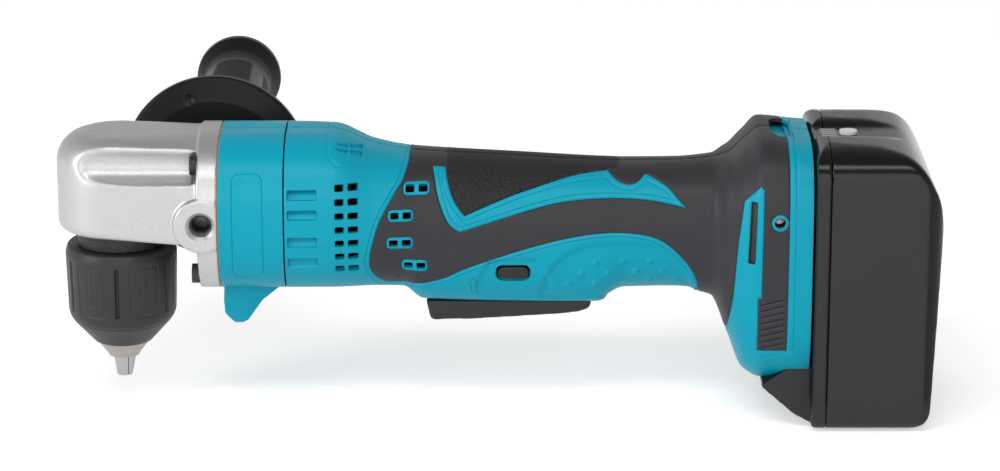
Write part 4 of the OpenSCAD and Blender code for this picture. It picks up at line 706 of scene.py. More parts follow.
def plastic(name, colour, roughness, grain_size, grain_depth, sheen=0.35):
    """Moulded plastic with an eroded grain and lighter, rubbed edges."""
    look = Look(name, colour, roughness)
    look.set("Specular IOR Level", sheen)
    look.vary(0.05, 9)
    look.bump(look.noise(grain_size, 2), grain_depth)
    look.blotch(look.noise(14), 0.45, 0.8, 0.12, [1.15 * c + 0.004 for c in colour])
    look.wear(0.35, 3, 0.4, 0.7, 0, 0.3, [0.8 * c + 0.06 for c in colour])
    return look


def metal(name, colour, roughness, grain_size, grain_depth, stretch=(1, 1, 1), worn=0.4):
    """Machined or cast metal, with brighter edges."""
    look = Look(name, colour, roughness, 1)
    look.vary(0.06, 4)
    look.bump(look.noise(grain_size, 3, stretch), grain_depth)
    look.blotch(look.noise(7), 0.4, 0.75, 0.25, [0.8 * c for c in colour])
    look.tint(look.times(look.edges(0.3), worn), [min(1, 1.3 * c + 0.05) for c in colour])
    return look


def cast_aluminium():
    """Sand-cast metal, dull and slightly wavy."""
    look = Look("cast_aluminium", (0.5, 0.5, 0.495), 0.42, 0.85)
    grain = look.noise(0.55, 4)
    look.set("Roughness", look.remap(grain, *NOISE_RANGE, 0.34, 0.52))
    look.bump(look.noise(0.7, 3), 0.05)
    look.bump(look.noise(9, 1), 0.18)
    look.blotch(grain, 0.35, 0.7, 0.5, (0.395, 0.395, 0.39))
    look.blotch(look.noise(25, 2), 0.4, 0.75, 0.2, (0.46, 0.455, 0.445))
    return look.material


def rubber():
    """Moulded rubber, coarse where the mesh says so."""
    look = Look("black_rubber", (0.025, 0.025, 0.029), 0.5)
    look.set("Specular IOR Level", 0.26)
    rough = look.attribute("grain")
    look.set("Roughness", look.remap(rough, 0, 1, 0.47, 0.62))
    look.bump(look.noise(0.32, 2), 0.02)
    look.bump(look.times(look.cells(1), rough), 0.5)
    look.bump(look.times(look.noise(0.7, 2), rough), 0.25)
    look.blotch(look.noise(12), 0.45, 0.8, 0.3, (0.03, 0.03, 0.032))
    look.tint(look.times(rough, 0.75), (0.01, 0.01, 0.01))
    look.wear(0.35, 4, 0.4, 0.7, 0.05, 0.3, (0.09, 0.09, 0.095))
    return look.material


TEAL = plastic("coloured_plastic", (0.0, 0.285, 0.395), 0.4, 0.28, 0.018, 0.17).material
RUBBER = rubber()
ALUMINIUM = cast_aluminium()
BLACK = plastic("black_plastic", (0.018, 0.018, 0.02), 0.46, 0.3, 0.022).material
# Near-black with no sheen: painted shade for the core where it shows through openings
SHADE_BLACK = plastic("painted_shade_black", (0.004, 0.004, 0.0045), 0.8, 0.3, 0.02, 0).material


# Housing halves, with places as shares of the housing's length and of the motor end's half height

RUBBER_EDGE = [(0.243, 1.5), (0.24, 0.85), (0.226, 0.54), (0.205, 0.33), (0.178, 0), (0.161, -0.42),
               (0.163, -0.64), (0.18, -0.79), (0.205, -0.845), (0.25, -0.82), (0.3, -0.74), (0.35, -0.59),
               (0.45, -0.37), (0.53, -0.235), (0.6, -0.167), (0.66, -0.175), (0.71, -0.25), (0.75, -0.45),
               (0.78, -0.73), (0.79, -1), (0.79, -1.3)]
HEEL = [(0.79, -3), (0.838, -3)]
INLAY_EDGE = [(0.838, -2.2), (0.843, -1.4), (0.852, -0.9), (0.86, -0.2), (0.87, 0.33)]
STRIP = [(0.9, 0.54), (0.907, 0.5), (0.905, -0.87), (0.898, -0.87), (0.898, -1.57), (0.955, -1.57),
         (0.956, 1.6)]
TICK_LEFT = [(0.281, 0.62), (0.293, 0.26), (0.31, -0.01), (0.331, -0.128)]
TICK_LOW = [(0.331, -0.128), (0.353, -0.085), (0.448, 0.105), (0.527, 0.225), (0.61, 0.261), (0.694, 0.232),
            (0.763, 0.142)]
TICK_TIP = [(0.763, 0.142), (0.75, 0.232), (0.731, 0.362), (0.708, 0.45), (0.686, 0.505)]
TICK_NOTCH = [(0.686, 0.505), (0.672, 0.431), (0.656, 0.403), (0.636, 0.433), (0.614, 0.536)]
TICK_HIGH = [(0.614, 0.536), (0.54, 0.49), (0.449, 0.342), (0.393, 0.214), (0.341, 0.072)]
TICK_RIGHT = [(0.341, 0.072), (0.321, 0.255), (0.31, 0.45), (0.305, 0.61)]
GRAIN_END = [(0.629, 0.54), (0.66, 0.66), (0.67, 0.8), (0.67, 1.4), (0.307, 1.4)]
GRIP_VENTS = [(0.229, 0.271, 0.41), (0.2, 0.24, 0.095), (0.197, 0.239, -0.255), (0.225, 0.266, -0.558)]
VENT_COLUMNS = [(0.095, 0.113), (0.12, 0.14)]
VENT_ROWS = np.linspace(0.475, -0.572, 7)
VENT_HALF_H, VENT_R, GRIP_VENT_R = 1.3, 0.6, 0.5
VENT_PAD, VENT_FRAME_HALF_H, VENT_FRAME_R = 0.8, 2.25, 1.6
VENT_WEB_HALF_W = 0.7
RECESS_FROM, RECESS_TO, RECESS_HALF_H, RECESS_R = 0.006, 0.061, 1.75, 0.5
RECESS_ROWS = [0.393, 0.144, -0.203, -0.478]
FINGER_OVAL = [(0.485, -1.02), (0.495, -0.758), (0.514, -0.563), (0.544, -0.407), (0.582, -0.325),
               (0.63, -0.303), (0.679, -0.315), (0.718, -0.38), (0.755, -0.55), (0.772, -0.758),
               (0.77, -1.3), (0.63, -1.3), (0.605, -1.06), (0.5, -1.06)]
# Height, first place and count of each row
FINGER_BUMPS = [(-0.55, 0.591, 3), (-0.7, 0.564, 4), (-0.84, 0.538, 5)]
BUMP_PITCH, BUMP_R, BUMP_SIDES = 0.052, 1.1, 14
LEVER_SCOOP = [(0.385, -0.53), (0.4, -0.5), (0.467, -0.5), (0.482, -0.53), (0.5, -0.98), (0.367, -0.98)]
LEVER_GAP_X, LEVER_GAP_Z, LEVER_HOLE_R = 0.8, 1.1, 3.2
ARROW = [(0.359, -0.735), (0.3695, -0.81), (0.3642, -0.81), (0.3642, -0.945), (0.3538, -0.945),
         (0.3538, -0.81), (0.3485, -0.81)]
TOP_PANEL = [(0.08, 1.2), (0.08, 0.82), (0.1, 0.71), (0.15, 0.66), (0.163, 0.8), (0.166, 1.2)]
TOP_BARS = [[(0.0995, 0.927), (0.1187, 0.891), (0.1187, 0.868), (0.0995, 0.906)],
            [(0.1245, 0.88), (0.146, 0.839), (0.146, 0.813), (0.1245, 0.856)],
            [(0.099, 0.884), (0.1185, 0.848), (0.1182, 0.818), (0.0995, 0.857)],
            [(0.124, 0.838), (0.1455, 0.799), (0.1445, 0.758), (0.1245, 0.806)]]
HOOK = (0.9375, 0.093)
HOOK_RING_R, HOOK_R = 3.1, 2.1
FOOT_SLOT = [(0.8835, 0.33), (0.8925, 0.33), (0.8895, -0.43), (0.8795, -0.43)]
SLOT_MARGIN = 0.3
NOTCH_FROM, NOTCH_TO, NOTCH_COUNT, NOTCH_REACH = 0.926, 0.965, 16, 13
NOTCH_ARC = (0.35, 2.6)
PAD = (0.8995, -1.55, 0.954, -0.89)
PAD_RIBS = 8
# Start and end of a rib, in from the ends of the pad and off its middle line
RIB_START, RIB_END = (0.006, -0.03), (-0.005, 0.04)
FOOT_LINE = [(0.968, 1.6), (0.968, -1.56), (0.89, -1.72)]
FOOT_DOT, FOOT_DOT_R = (0.789, 0.11), 2.6
SMALL_DIMPLES = [(0.1865, -0.565), (0.214, -0.7), (0.254, -0.7)]
DIMPLE_R = 0.9
SCREWS = [(0.155, -0.8), (0.487, 0.2), (0.747, -0.48), (0.878, 0.62), (0.888, -1.7)]
SCREW_HOLE_R = 3.6
TRIGGER_GAP_X, TRIGGER_GAP_Y, TRIGGER_COUNT = 0.6, 0.35, 90
# Well above or below the body
CLEAR_OF_BODY = 100
# Parts of the core that are painted near-black as shade: behind the vents and round the screws
DARK_FROM, DARK_TO = 0.02, 0.3
DARK_BORE_R = 6
# How far the core is drawn in, and how much further behind the recesses at the front
CORE_INSET, CORE_FRONT_INSET = 1.7, 3
FRONT_SHARE = 0.068
# Where the outer face of a solid begins, as a share of its section
OUTER_FROM = 0.955

# Fineness of the skin and of lines on it
HOUSING_COLUMNS, HOUSING_STEP = 385, 1.1
MARK_STEP, SLOT_STEP, BAR_STEP = 0.6, 0.5, 0.4
# Lines along the inside of the rubber's edge and of the tick
EDGE_LINE_OFF, TICK_LINE_OFF = 1.5, 1.7
RUN_CLEARANCE, SHORT_RUN = 0.93, 3
# Regions of a half
REGIONS = 3
SHELL, GRIP, SLOT_SHADE = range(REGIONS)
# Half width and depth of each kind of groove
EDGE_GROOVE, TICK_GROOVE, ARROW_GROOVE = (0.35, 0.3), (0.3, 0.25), (0.32, 0.28)
PANEL_GROOVE, RIB_GROOVE, FOOT_GROOVE, DOT_GROOVE = (0.25, 0.14), (0.6, 0.5), (0.35, 0.25), (0.25, 0.12)
# Depth and slope of each kind of dent, and the tilt of the recesses
RECESS_DENT, OVAL_DENT, BUMP_DENT, SCOOP_DENT = (2.6, 0.4, 0.7), (0.9, 2), (-0.6, 0.9), (0.9, 1.8)
BAR_DENT, SLOT_DENT, DIMPLE_DENT = (1, 0.1), (1.1, 0.4), (0.3, 0.8)
# Depth of the rim of each kind of hole
VENT_RIM, GRIP_VENT_RIM, LEVER_RIM, HOOK_RIM = 2.2, 2, 2.4, 2
NOTCH_RIM, TRIGGER_RIM, SCREW_RIM = 1.5, 2.4, 1.8


def share_box(x0, z0, x1, z1, radius):
    """Rounded rectangle between two places."""
    (ax, az), (bx, bz) = share_points([(x0, z0), (x1, z1)])
    return rounded_box(ax, az, bx, bz, radius)


def share_dot(share, radius, count):
    """Circle about a place."""
    x, z = share_points([share])[0]
    return circle(x, z, radius, count)


def rubber_outline():
    """Edge of the rubber, with its heel, its inlay and the strip at the foot."""
    edge, inlay = spline(share_points(RUBBER_EDGE)), spline(share_points(INLAY_EDGE))
    return np.concatenate([edge, share_points(HEEL), inlay, polyline(share_points(STRIP), closed=False)])


def tick_outline():
    """Edge of the tick-shaped field of the shell within the rubber."""
    runs = [TICK_LEFT, TICK_LOW, TICK_TIP, TICK_NOTCH, TICK_HIGH, TICK_RIGHT]
    line = np.concatenate([spline(share_points(run))[:-1] for run in runs] + [share_points([TICK_RIGHT[-1]])])
    top = polyline([line[-1], line[0]], closed=False)[1:-1]
    return np.concatenate([line, top])


def inner_runs(polygon, distance):
    """Stretches of a line inside a polygon, at a distance from its edge."""
    line = offset_line(polygon, distance)
    gap = np.linalg.norm(line[:, None] - polygon[None], axis=2).min(1)
    runs, run = [], []
    for p, g in zip(line, gap):
        if g > RUN_CLEARANCE * distance:
            run.append(p)
        elif run:
            runs.append(run)
            run = []
    runs.append(run)
    return [np.array(r) for r in runs if len(r) > SHORT_RUN]


def lower_edge(x, y):
    """Height of the housing's underside at a distance from its middle."""
    _, bottom, mid, half_w, _, n = housing_profile(x)
    return mid + (bottom - mid) * (1 - (y / half_w)**n)**(1 / n)


def top_notch():
    """Opening across the top of the foot, in front of the battery plate."""
    x = X_HOUSING + BODY_LEN * np.linspace(NOTCH_FROM, NOTCH_TO, NOTCH_COUNT)
    top, _, mid, half_w, n, _ = housing_profile(x)
    reach = NOTCH_REACH * np.sin(np.linspace(*NOTCH_ARC, NOTCH_COUNT))**0.5
    edge = np.stack([x, mid + (top - mid) * (1 - (reach / half_w)**n)**(1 / n)], 1)
    return np.concatenate([edge, [(x[-1], CLEAR_OF_BODY), (x[0], CLEAR_OF_BODY)]])


def trigger_opening():
    """Opening along the underside, with a gap round the trigger."""
    (front, back), (_, half_w), _ = TRIGGER
    x = np.linspace(front - TRIGGER_GAP_X, back + TRIGGER_GAP_X, TRIGGER_COUNT)
    edge = np.stack([x, lower_edge(x, half_w + TRIGGER_GAP_Y)], 1)
    return np.concatenate([edge, [(x[-1], -CLEAR_OF_BODY), (x[0], -CLEAR_OF_BODY)]])


def add_vents(skin):
    """Framed pairs of vents in the rubber, and two columns of vents in the motor end."""
    for start, end, height in GRIP_VENTS:
        (x0, z), (x1, _) = share_points([(start, height), (end, height)])
        edge = rounded_box(x0 - VENT_PAD, z - VENT_FRAME_HALF_H, x1 + VENT_PAD, z + VENT_FRAME_HALF_H,
                           VENT_FRAME_R)
        skin.region(SHELL, edge, NEAR_ROWS)
        split = x0 + 0.5 * (x1 - x0)
        for a, b in ((x0, split - VENT_WEB_HALF_W), (split + VENT_WEB_HALF_W, x1)):
            skin.hole(rounded_box(a, z - VENT_HALF_H, b, z + VENT_HALF_H, GRIP_VENT_R), GRIP_VENT_RIM)
    for height in VENT_ROWS:
        for start, end in VENT_COLUMNS:
            (x0, z), (x1, _) = share_points([(start, height), (end, height)])
            skin.hole(rounded_box(x0, z - VENT_HALF_H, x1, z + VENT_HALF_H, VENT_R), VENT_RIM)


def add_grip_marks(skin):
    """Finger oval with its bumps, the lever's scoop and opening, and the arrow."""
    skin.dent(spline(share_points(FINGER_OVAL), closed=True), *OVAL_DENT)
    for z, first, count in FINGER_BUMPS:
        for k in range(count):
            skin.dent(share_dot((first + k * BUMP_PITCH, z), BUMP_R, BUMP_SIDES), *BUMP_DENT)
    skin.dent(spline(share_points(LEVER_SCOOP), closed=True), *SCOOP_DENT)
    (x0, x1), _, (z0, z1) = LEVER
    edge = rounded_box(x0 - LEVER_GAP_X, z0 - LEVER_GAP_Z, x1 + LEVER_GAP_X, z1 + LEVER_GAP_Z, LEVER_HOLE_R)
    skin.hole(edge, LEVER_RIM)
    skin.groove(polyline(share_points(ARROW), MARK_STEP), True, *ARROW_GROOVE)


def add_foot_marks(skin):
    """Hook hole, slot, notch, ribbed pad and lines of the foot."""
    skin.region(SHELL, share_dot(HOOK, HOOK_RING_R, 28), NEAR_ROWS)
    skin.hole(share_dot(HOOK, HOOK_R, 24), HOOK_RIM)
    slot = polyline(share_points(FOOT_SLOT), SLOT_STEP)
    # The slot's floor is black plastic: painted shade that stands for a deep slot
    skin.region(SLOT_SHADE, offset_line(slot, SLOT_MARGIN), (-SLOT_MARGIN, SLOT_MARGIN))
    skin.dent(slot, *SLOT_DENT)
    skin.hole(top_notch(), NOTCH_RIM)
    x0, z0, x1, z1 = PAD
    for k in range(PAD_RIBS):
        z = z0 + (z1 - z0) * (k + 0.5) / PAD_RIBS
        ends = [(x0 + RIB_START[0], z + RIB_START[1]), (x1 + RIB_END[0], z + RIB_END[1])]
        skin.groove(polyline(share_points(ends), MARK_STEP, False), False, *RIB_GROOVE)
    skin.groove(polyline(share_points(FOOT_LINE), closed=False), False, *FOOT_GROOVE)
    skin.groove(share_dot(FOOT_DOT, FOOT_DOT_R, 24), True, *DOT_GROOVE)


def housing_side():
    """Near side of the housing."""
    return Side(X_HOUSING, X_FOOT, housing_profile, HOUSING_COLUMNS, housing_crest)


def housing_skin(far):
    """Skin of one half, with its openings and moulded marks."""
    skin = Skin(housing_side(), HOUSING_STEP)
    tick = tick_outline()
    skin.region(GRIP, rubber_outline())
    skin.region(SHELL, tick)
    edge = spline(share_points(RUBBER_EDGE))
    skin.groove(offset_line(edge, -EDGE_LINE_OFF, False), False, *EDGE_GROOVE)
    for run in inner_runs(tick, TICK_LINE_OFF):
        skin.groove(run, False, *TICK_GROOVE)
    add_vents(skin)
    half = RECESS_HALF_H / MOTOR_R
    for z in RECESS_ROWS:
        skin.dent(share_box(RECESS_FROM, z - half, RECESS_TO, z + half, RECESS_R), *RECESS_DENT)
    add_grip_marks(skin)
    skin.groove(polyline(share_points(TOP_PANEL), closed=False), False, *PANEL_GROOVE)
    for bar in TOP_BARS:
        skin.dent(polyline(share_points(bar), BAR_STEP), *BAR_DENT)
    add_foot_marks(skin)
    for place in SMALL_DIMPLES:
        skin.dent(share_dot(place, DIMPLE_R, 12), *DIMPLE_DENT)
    skin.hole(trigger_opening(), TRIGGER_RIM)
    if far:
        for screw in SCREWS:
            skin.hole(share_dot(screw, SCREW_HOLE_R, 28), SCREW_RIM)
    return skin


def drawn_in(node, name, depth, front=0):
    """Copy of a solid of the housing with its outer face drawn in, more at the front, to back a skin."""
    mesh = frame["nodes"][node].data.copy()
    mesh.name = name
    points, _ = mesh_points(mesh)
    x, y, z = points.T
    top, bottom, mid, half_w, n_top, n_bottom = housing_profile(np.clip(x, X_HOUSING, X_FOOT))
    upper = z >= mid
    n = np.where(upper, n_top, n_bottom)
    height = np.where(upper, top - mid, mid - bottom)
    u, v = np.abs(y) / half_w, np.abs(z - mid) / height
    outer = (u**n + v**n)**(1 / n) > OUTER_FROM
    out = np.stack([u**(n - 1) / half_w * np.sign(y), v**(n - 1) / height * np.sign(z - mid)], 1)
    out /= np.maximum(np.linalg.norm(out, axis=1), TINY)[:, None]
    share = (x - X_HOUSING) / BODY_LEN
    inset = depth + np.where(np.abs(share) < FRONT_SHARE, front, 0)
    points[outer, 1:] -= (inset[:, None] * out)[outer]
    place_points(mesh, points)
    return mesh


def grain_mask(plane):
    """Which places of the rubber have the coarse grain."""
    tick = [spline(share_points(run)) for run in (TICK_RIGHT[::-1], TICK_HIGH[::-1])]
    return inside(plane, np.concatenate([tick[0], tick[1], share_points(GRAIN_END)])).astype(float)


def housing(side, far):
    """Skin, rubber and slot floor of one half, with a core behind them; the slot floor and the core behind the
    vents and round the screws are painted shade black.
    """
    skin = housing_skin(far)
    (shell, _), (grip, plane), (slot, _) = skin_meshes(skin, "housing_" + side, far, REGIONS)
    set_attribute(grip, "grain", grain_mask(plane))
    new_object("housing_skin_" + side, shell, "body", TEAL, ["housing_" + side])
    new_object("grip_skin_" + side, grip, "body", RUBBER, ["grip_" + side])
    # Black slot floor: painted shade
    new_object("foot_slot_shade_" + side, slot, "body", BLACK)
    core = drawn_in("housing_" + side, "core_" + side, CORE_INSET, CORE_FRONT_INSET)
    new_object("housing_core_" + side, core, "body", TEAL)
    # Second material of the core: painted shade black behind the vents and round the screw holes
    core.materials.append(SHADE_BLACK)
    screws = share_points(SCREWS) if far else np.empty((0, 2))
    for face in core.polygons:
        x, z = face.center.x / MM, face.center.z / MM - AXIS
        behind_vents = DARK_FROM < (x - X_HOUSING) / BODY_LEN < DARK_TO
        by_screw = any(math.hypot(x - a, z - b) < DARK_BORE_R for a, b in screws)
        face.material_index = int(behind_vents or by_screw)


housing("left", False)
housing("right", True)


# Solid forms, carved and eased like mouldings and castings

# Longest share of a side that a rounding takes
LARGEST_CUT = 0.49
# How far a round of smoothing moves a point towards its neighbours
EASE = 0.5
# Points closer than this, in metres, become one
WELD_GAP = 0.00001


def filleted(corners, steps=7):
    """Outline through corners given as x, y and a rounding radius."""
    pts = np.array([c[:2] for c in corners], float)
    out = []
    for i, (_, _, r) in enumerate(corners):
        p, before, after = pts[i], pts[i - 1], pts[(i + 1) % len(pts)]
        a, b = before - p, after - p
        if r == 0:
            out.append(p)
            continue
        la, lb = np.linalg.norm(a), np.linalg.norm(b)
        half = math.acos(np.clip(a @ b / (la * lb), -1, 1)) / 2
        cut = min(r / math.tan(half), LARGEST_CUT * la, LARGEST_CUT * lb)
        middle = a / la + b / lb
        centre = p + middle / np.linalg.norm(middle) * cut / math.cos(half)
        start, end = p + a / la * cut - centre, p + b / lb * cut - centre
        turn = math.atan2(start[0] * end[1] - start[1] * end[0], start @ end)
        for k in range(steps + 1):
            c, s = math.cos(turn * k / steps), math.sin(turn * k / steps)
            out.append(centre + (start[0] * c - start[1] * s, start[0] * s + start[1] * c))
    return np.array(out)


def temporary(points, faces):
    """Object that only lends its form to others."""
    obj = linked("form", make_mesh("form", points, faces))
    with edited(obj.data) as form:
        bmesh.ops.recalc_face_normals(form, faces=form.faces)
    return obj


def prism(outline, axis, low, high):
    """Outline drawn along an axis; its two numbers run along the other axes in order."""
    n = len(outline)
    others = [k for k in range(3) if k != axis]
    points = np.zeros((2 * n, 3))
    points[:, others] = np.tile(outline, (2, 1))
    points[:n, axis], points[n:, axis] = low, high
    faces = [list(range(n)), list(range(2 * n - 1, n - 1, -1))]
    faces += [[k, (k + 1) % n, n + (k + 1) % n, n + k] for k in range(n)]
    return temporary(points, faces)


def block(low, high):
    """Box between two corners."""
    (x0, y0, z0), (x1, y1, z1) = low, high
    return prism([(x0, y0), (x1, y0), (x1, y1), (x0, y1)], 2, z0, z1)


def rod(axis, place, radius, low, high, sides=48):
    """Round bar along an axis; place gives its two other numbers."""
    return prism(circle(place[0], place[1], radius, sides), axis, low, high)


def hull(points):
    """Convex form round points."""
    form = bmesh.new()
    for p in points:
        form.verts.new(p)
    found = bmesh.ops.convex_hull(form, input=form.verts)
    loose = {v for v in found["geom_interior"] + found["geom_unused"] if isinstance(v, bmesh.types.BMVert)}
    bmesh.ops.delete(form, geom=list(loose), context="VERTS")
    form.verts.index_update()
    out = temporary([tuple(v.co) for v in form.verts], [[v.index for v in f.verts] for f in form.faces])
    form.free()
    return out


def rings(axis, place, rows, angles):
    """Points on circles round an axis; rows give places along it and radii."""
    out = []
    for along, radius in rows:
        for a in angles:
            point = [place[0] + radius * math.cos(a), place[1] + radius * math.sin(a)]
            point.insert(axis, along)
            out.append(point)
    return out


def carved(base, steps, voxel, rounds, late=()):
    """Mesh of a form with others joined, cut or kept, its edges eased, and late cuts left sharp."""
    used = [base]

    def combine(kind, tool):
        """Joins, cuts or keeps by another form."""
        change = base.modifiers.new(kind, "BOOLEAN")
        change.operation, change.solver, change.object = kind, "EXACT", tool
        used.append(tool)

    for kind, tool in steps:
        combine(kind, tool)
    if voxel:
        remesh = base.modifiers.new("remesh", "REMESH")
        remesh.mode, remesh.voxel_size = "VOXEL", voxel * MM
        smooth = base.modifiers.new("smooth", "SMOOTH")
        smooth.factor, smooth.iterations = EASE, rounds
    for tool in late:
        combine("DIFFERENCE", tool)
    mesh = bpy.data.meshes.new_from_object(base.evaluated_get(bpy.context.evaluated_depsgraph_get()))
    for obj in used:
        bpy.data.objects.remove(obj)
    return mesh


def drilled(mesh, tools):
    """Mesh with late cuts that stay sharp."""
    return carved(linked("form", mesh), [("DIFFERENCE", tool) for tool in tools], 0, 0)


def copied(node):
    """Temporary object with a solid's mesh, welded."""
    obj = linked("form", frame["nodes"][node].data.copy())
    with edited(obj.data) as form:
        bmesh.ops.remove_doubles(form, verts=form.verts, dist=WELD_GAP)
    return obj


def soften(mesh, chosen, rounds):
    """Eases part of a mesh; chosen picks points by their places."""
    wanted = chosen(mesh_points(mesh)[0])
    with edited(mesh) as form:
        picked = [v for v, pick in zip(form.verts, wanted) if pick]
        for _ in range(rounds):
            bmesh.ops.smooth_vert(form, verts=picked, factor=EASE, use_axis_x=True, use_axis_y=True,
                                  use_axis_z=True)


def revolved(name, profile, sides, place, axis, relief=None, smooth_angle=SMOOTH_ANGLE):
    """Profile of radius and height turned round an axis; relief gives a depth at each angle and row."""
    radius, height = np.asarray(profile, float).T
    a = np.linspace(0, 2 * math.pi, sides, endpoint=False)
    r = np.repeat(radius[:, None], sides, 1)
    if relief is not None:
        r = r - relief(np.repeat(a[None], len(radius), 0), np.repeat(height[:, None], sides, 1))
    h = np.repeat(height[:, None], sides, 1)
    u, v = r * np.cos(a), r * np.sin(a)
    points = np.stack([u, v, h] if axis == 2 else [u, h, v], -1).reshape(-1, 3) + place
    faces = []
    for i in range(len(radius) - 1):
        for k in range(sides):
            n = (k + 1) % sides
            face = [i * sides + k, i * sides + n, (i + 1) * sides + n, (i + 1) * sides + k]
            faces.append(face if axis == 2 else face[::-1])
    return make_mesh(name, points, faces, smooth_angle), a


# Gear case

CASE_COLUMNS, CASE_STEP = 41, 1
CASE_INSET = 1.4
CASE_PANEL = (43.6, -20.5, 54.7, 19.1)
CASE_PANEL_R, CASE_PANEL_GROOVE = 3, (0.4, 0.3)
# Dot in a corner of the panel
CASE_DOT_X, CASE_DOT_Z, CASE_DOT_R, CASE_DOT_GROOVE = 2.6, 3, 1, (0.25, 0.15)
LAMP_LEN = 0.92 * (X_CASE_BACK - X_CASE)
LAMP_LOW = span("gear_case", 2)[0]
LAMP_HALF_W = 9
# Depth below which the core leaves room for the lamp's foot
LAMP_CUT = 1.012 * MOTOR_R


def case_profile(x):
    """Section of the gear case, the same all along it."""
    return [np.full(len(x), v) for v in (MOTOR_R, -MOTOR_R, 0, MOTOR_HALF_W, N_MOTOR, N_MOTOR)]


def case_crest(x):
    """Depth of the flat band along the top of the gear case."""
    return np.full(len(x), CREST)


def gear_case():
    """Skins of both sides with a core behind them, and the foot of the lamp."""
    for far in (False, True):
        skin = Skin(Side(X_CASE, X_CASE_BACK, case_profile, CASE_COLUMNS, case_crest), CASE_STEP)
        if not far:
            skin.groove(rounded_box(*CASE_PANEL, CASE_PANEL_R), True, *CASE_PANEL_GROOVE)
            dot = circle(CASE_PANEL[0] + CASE_DOT_X, CASE_PANEL[3] - CASE_DOT_Z, CASE_DOT_R, 16)
            skin.groove(dot, True, *CASE_DOT_GROOVE)
        side = "far" if far else "near"
        (mesh, _), = skin_meshes(skin, "gear_case_" + side, far, 1)
        replaced = [] if far else ["gear_case"]
        new_object("gear_case_skin_" + side, mesh, "body", TEAL, replaced)
    core = drawn_in("gear_case", "gear_case_core", CASE_INSET)
    with edited(core) as form:
        low = [v for v in form.verts if v.co.z / MM - AXIS < -LAMP_CUT]
        bmesh.ops.delete(form, geom=low, context="VERTS")
    new_object("gear_case_core", core, "body", TEAL)
    n = LAMP_LEN
    outline = filleted([
        (X_CASE, -0.8 * MOTOR_R, 0), (X_CASE, LAMP_LOW + 0.175 * n, 2.2),
        (X_CASE + 0.16 * n, LAMP_LOW, 0.12 * n), (X_CASE + 0.38 * n, LAMP_LOW, 0.16 * n),
        (X_CASE + 0.66 * n, -1.18 * MOTOR_R, 0.25 * n), (X_CASE + n, -MOTOR_R + 0.5, 0),
        (X_CASE + n, -0.8 * MOTOR_R, 0)])
    foot = carved(prism(outline, 1, -LAMP_HALF_W, LAMP_HALF_W), [], voxel=0.5, rounds=8)
    shade(foot, smooth_angle=50)
    new_object("lamp_foot", foot, "body", TEAL)


# Angle head

X_FLANGE = X_CASE - 8
X_FLANGE_BACK = span("gear_housing", 0)[1]
NOSE_R = -span("gear_housing", 0)[0] - 0.8
NOSE_ROUND = 17
HEAD_BOTTOM = 8
BOSS_R, BOSS_PROUD = 10, 0.25
X_BOSS = 32
SCREW_OFF = 20.6
GROOVE_R = 6.4
GROOVE_OFF = 22.9
FLANGE_STEP = 1.1
HEAD_TOP = MOTOR_R - 1.1
HOLE_R = 4
HOLE_DEPTH = 14
# Widening of the hole's mouth, and where it starts and ends about the side of the head
MOUTH_R, MOUTH_OUT, MOUTH_IN = 2.2, 1, 1.2
# Grooves that lead to the screws: places along the body and radii
GROOVE_ROWS = [(-17, 1), (-15.5, 3.4), (-12.5, 5.2), (-8, GROOVE_R), (X_FLANGE, GROOVE_R)]
# Part of the head that is eased further: ahead of the flange, from below the screws, off the middle
EASED_AHEAD, EASED_BELOW, EASED_OFF = 1.5, 10, 8
# Seat of the bearing box, and a cut that clears all behind the flange
SEAT_R, SEAT_LOW, SEAT_HIGH = 18.6, -HEAD_BOTTOM - 2, -HEAD_BOTTOM + 3
CUT_HALF_W, CUT_LEN = 60, 30


def section_outline(grow=0, lowest=-CLEAR_OF_BODY, sides=120):
    """Section of the motor end, grown or shrunk, and cut off below."""
    a = np.linspace(0, 2 * math.pi, sides, endpoint=False)
    y = (MOTOR_HALF_W + grow) * np.sign(np.cos(a)) * np.abs(np.cos(a))**(2 / N_MOTOR)
    z = (MOTOR_R + grow) * np.sign(np.sin(a)) * np.abs(np.sin(a))**(2 / N_MOTOR)
    return np.stack([y, np.maximum(z, lowest)], 1)


def by_grooves(points):
    """Which points of the head lie round the grooves of its upper screws."""
    x, y, z = points.T
    return (x < X_FLANGE - EASED_AHEAD) & (z > SCREW_OFF - EASED_BELOW) & (np.abs(y) > EASED_OFF)


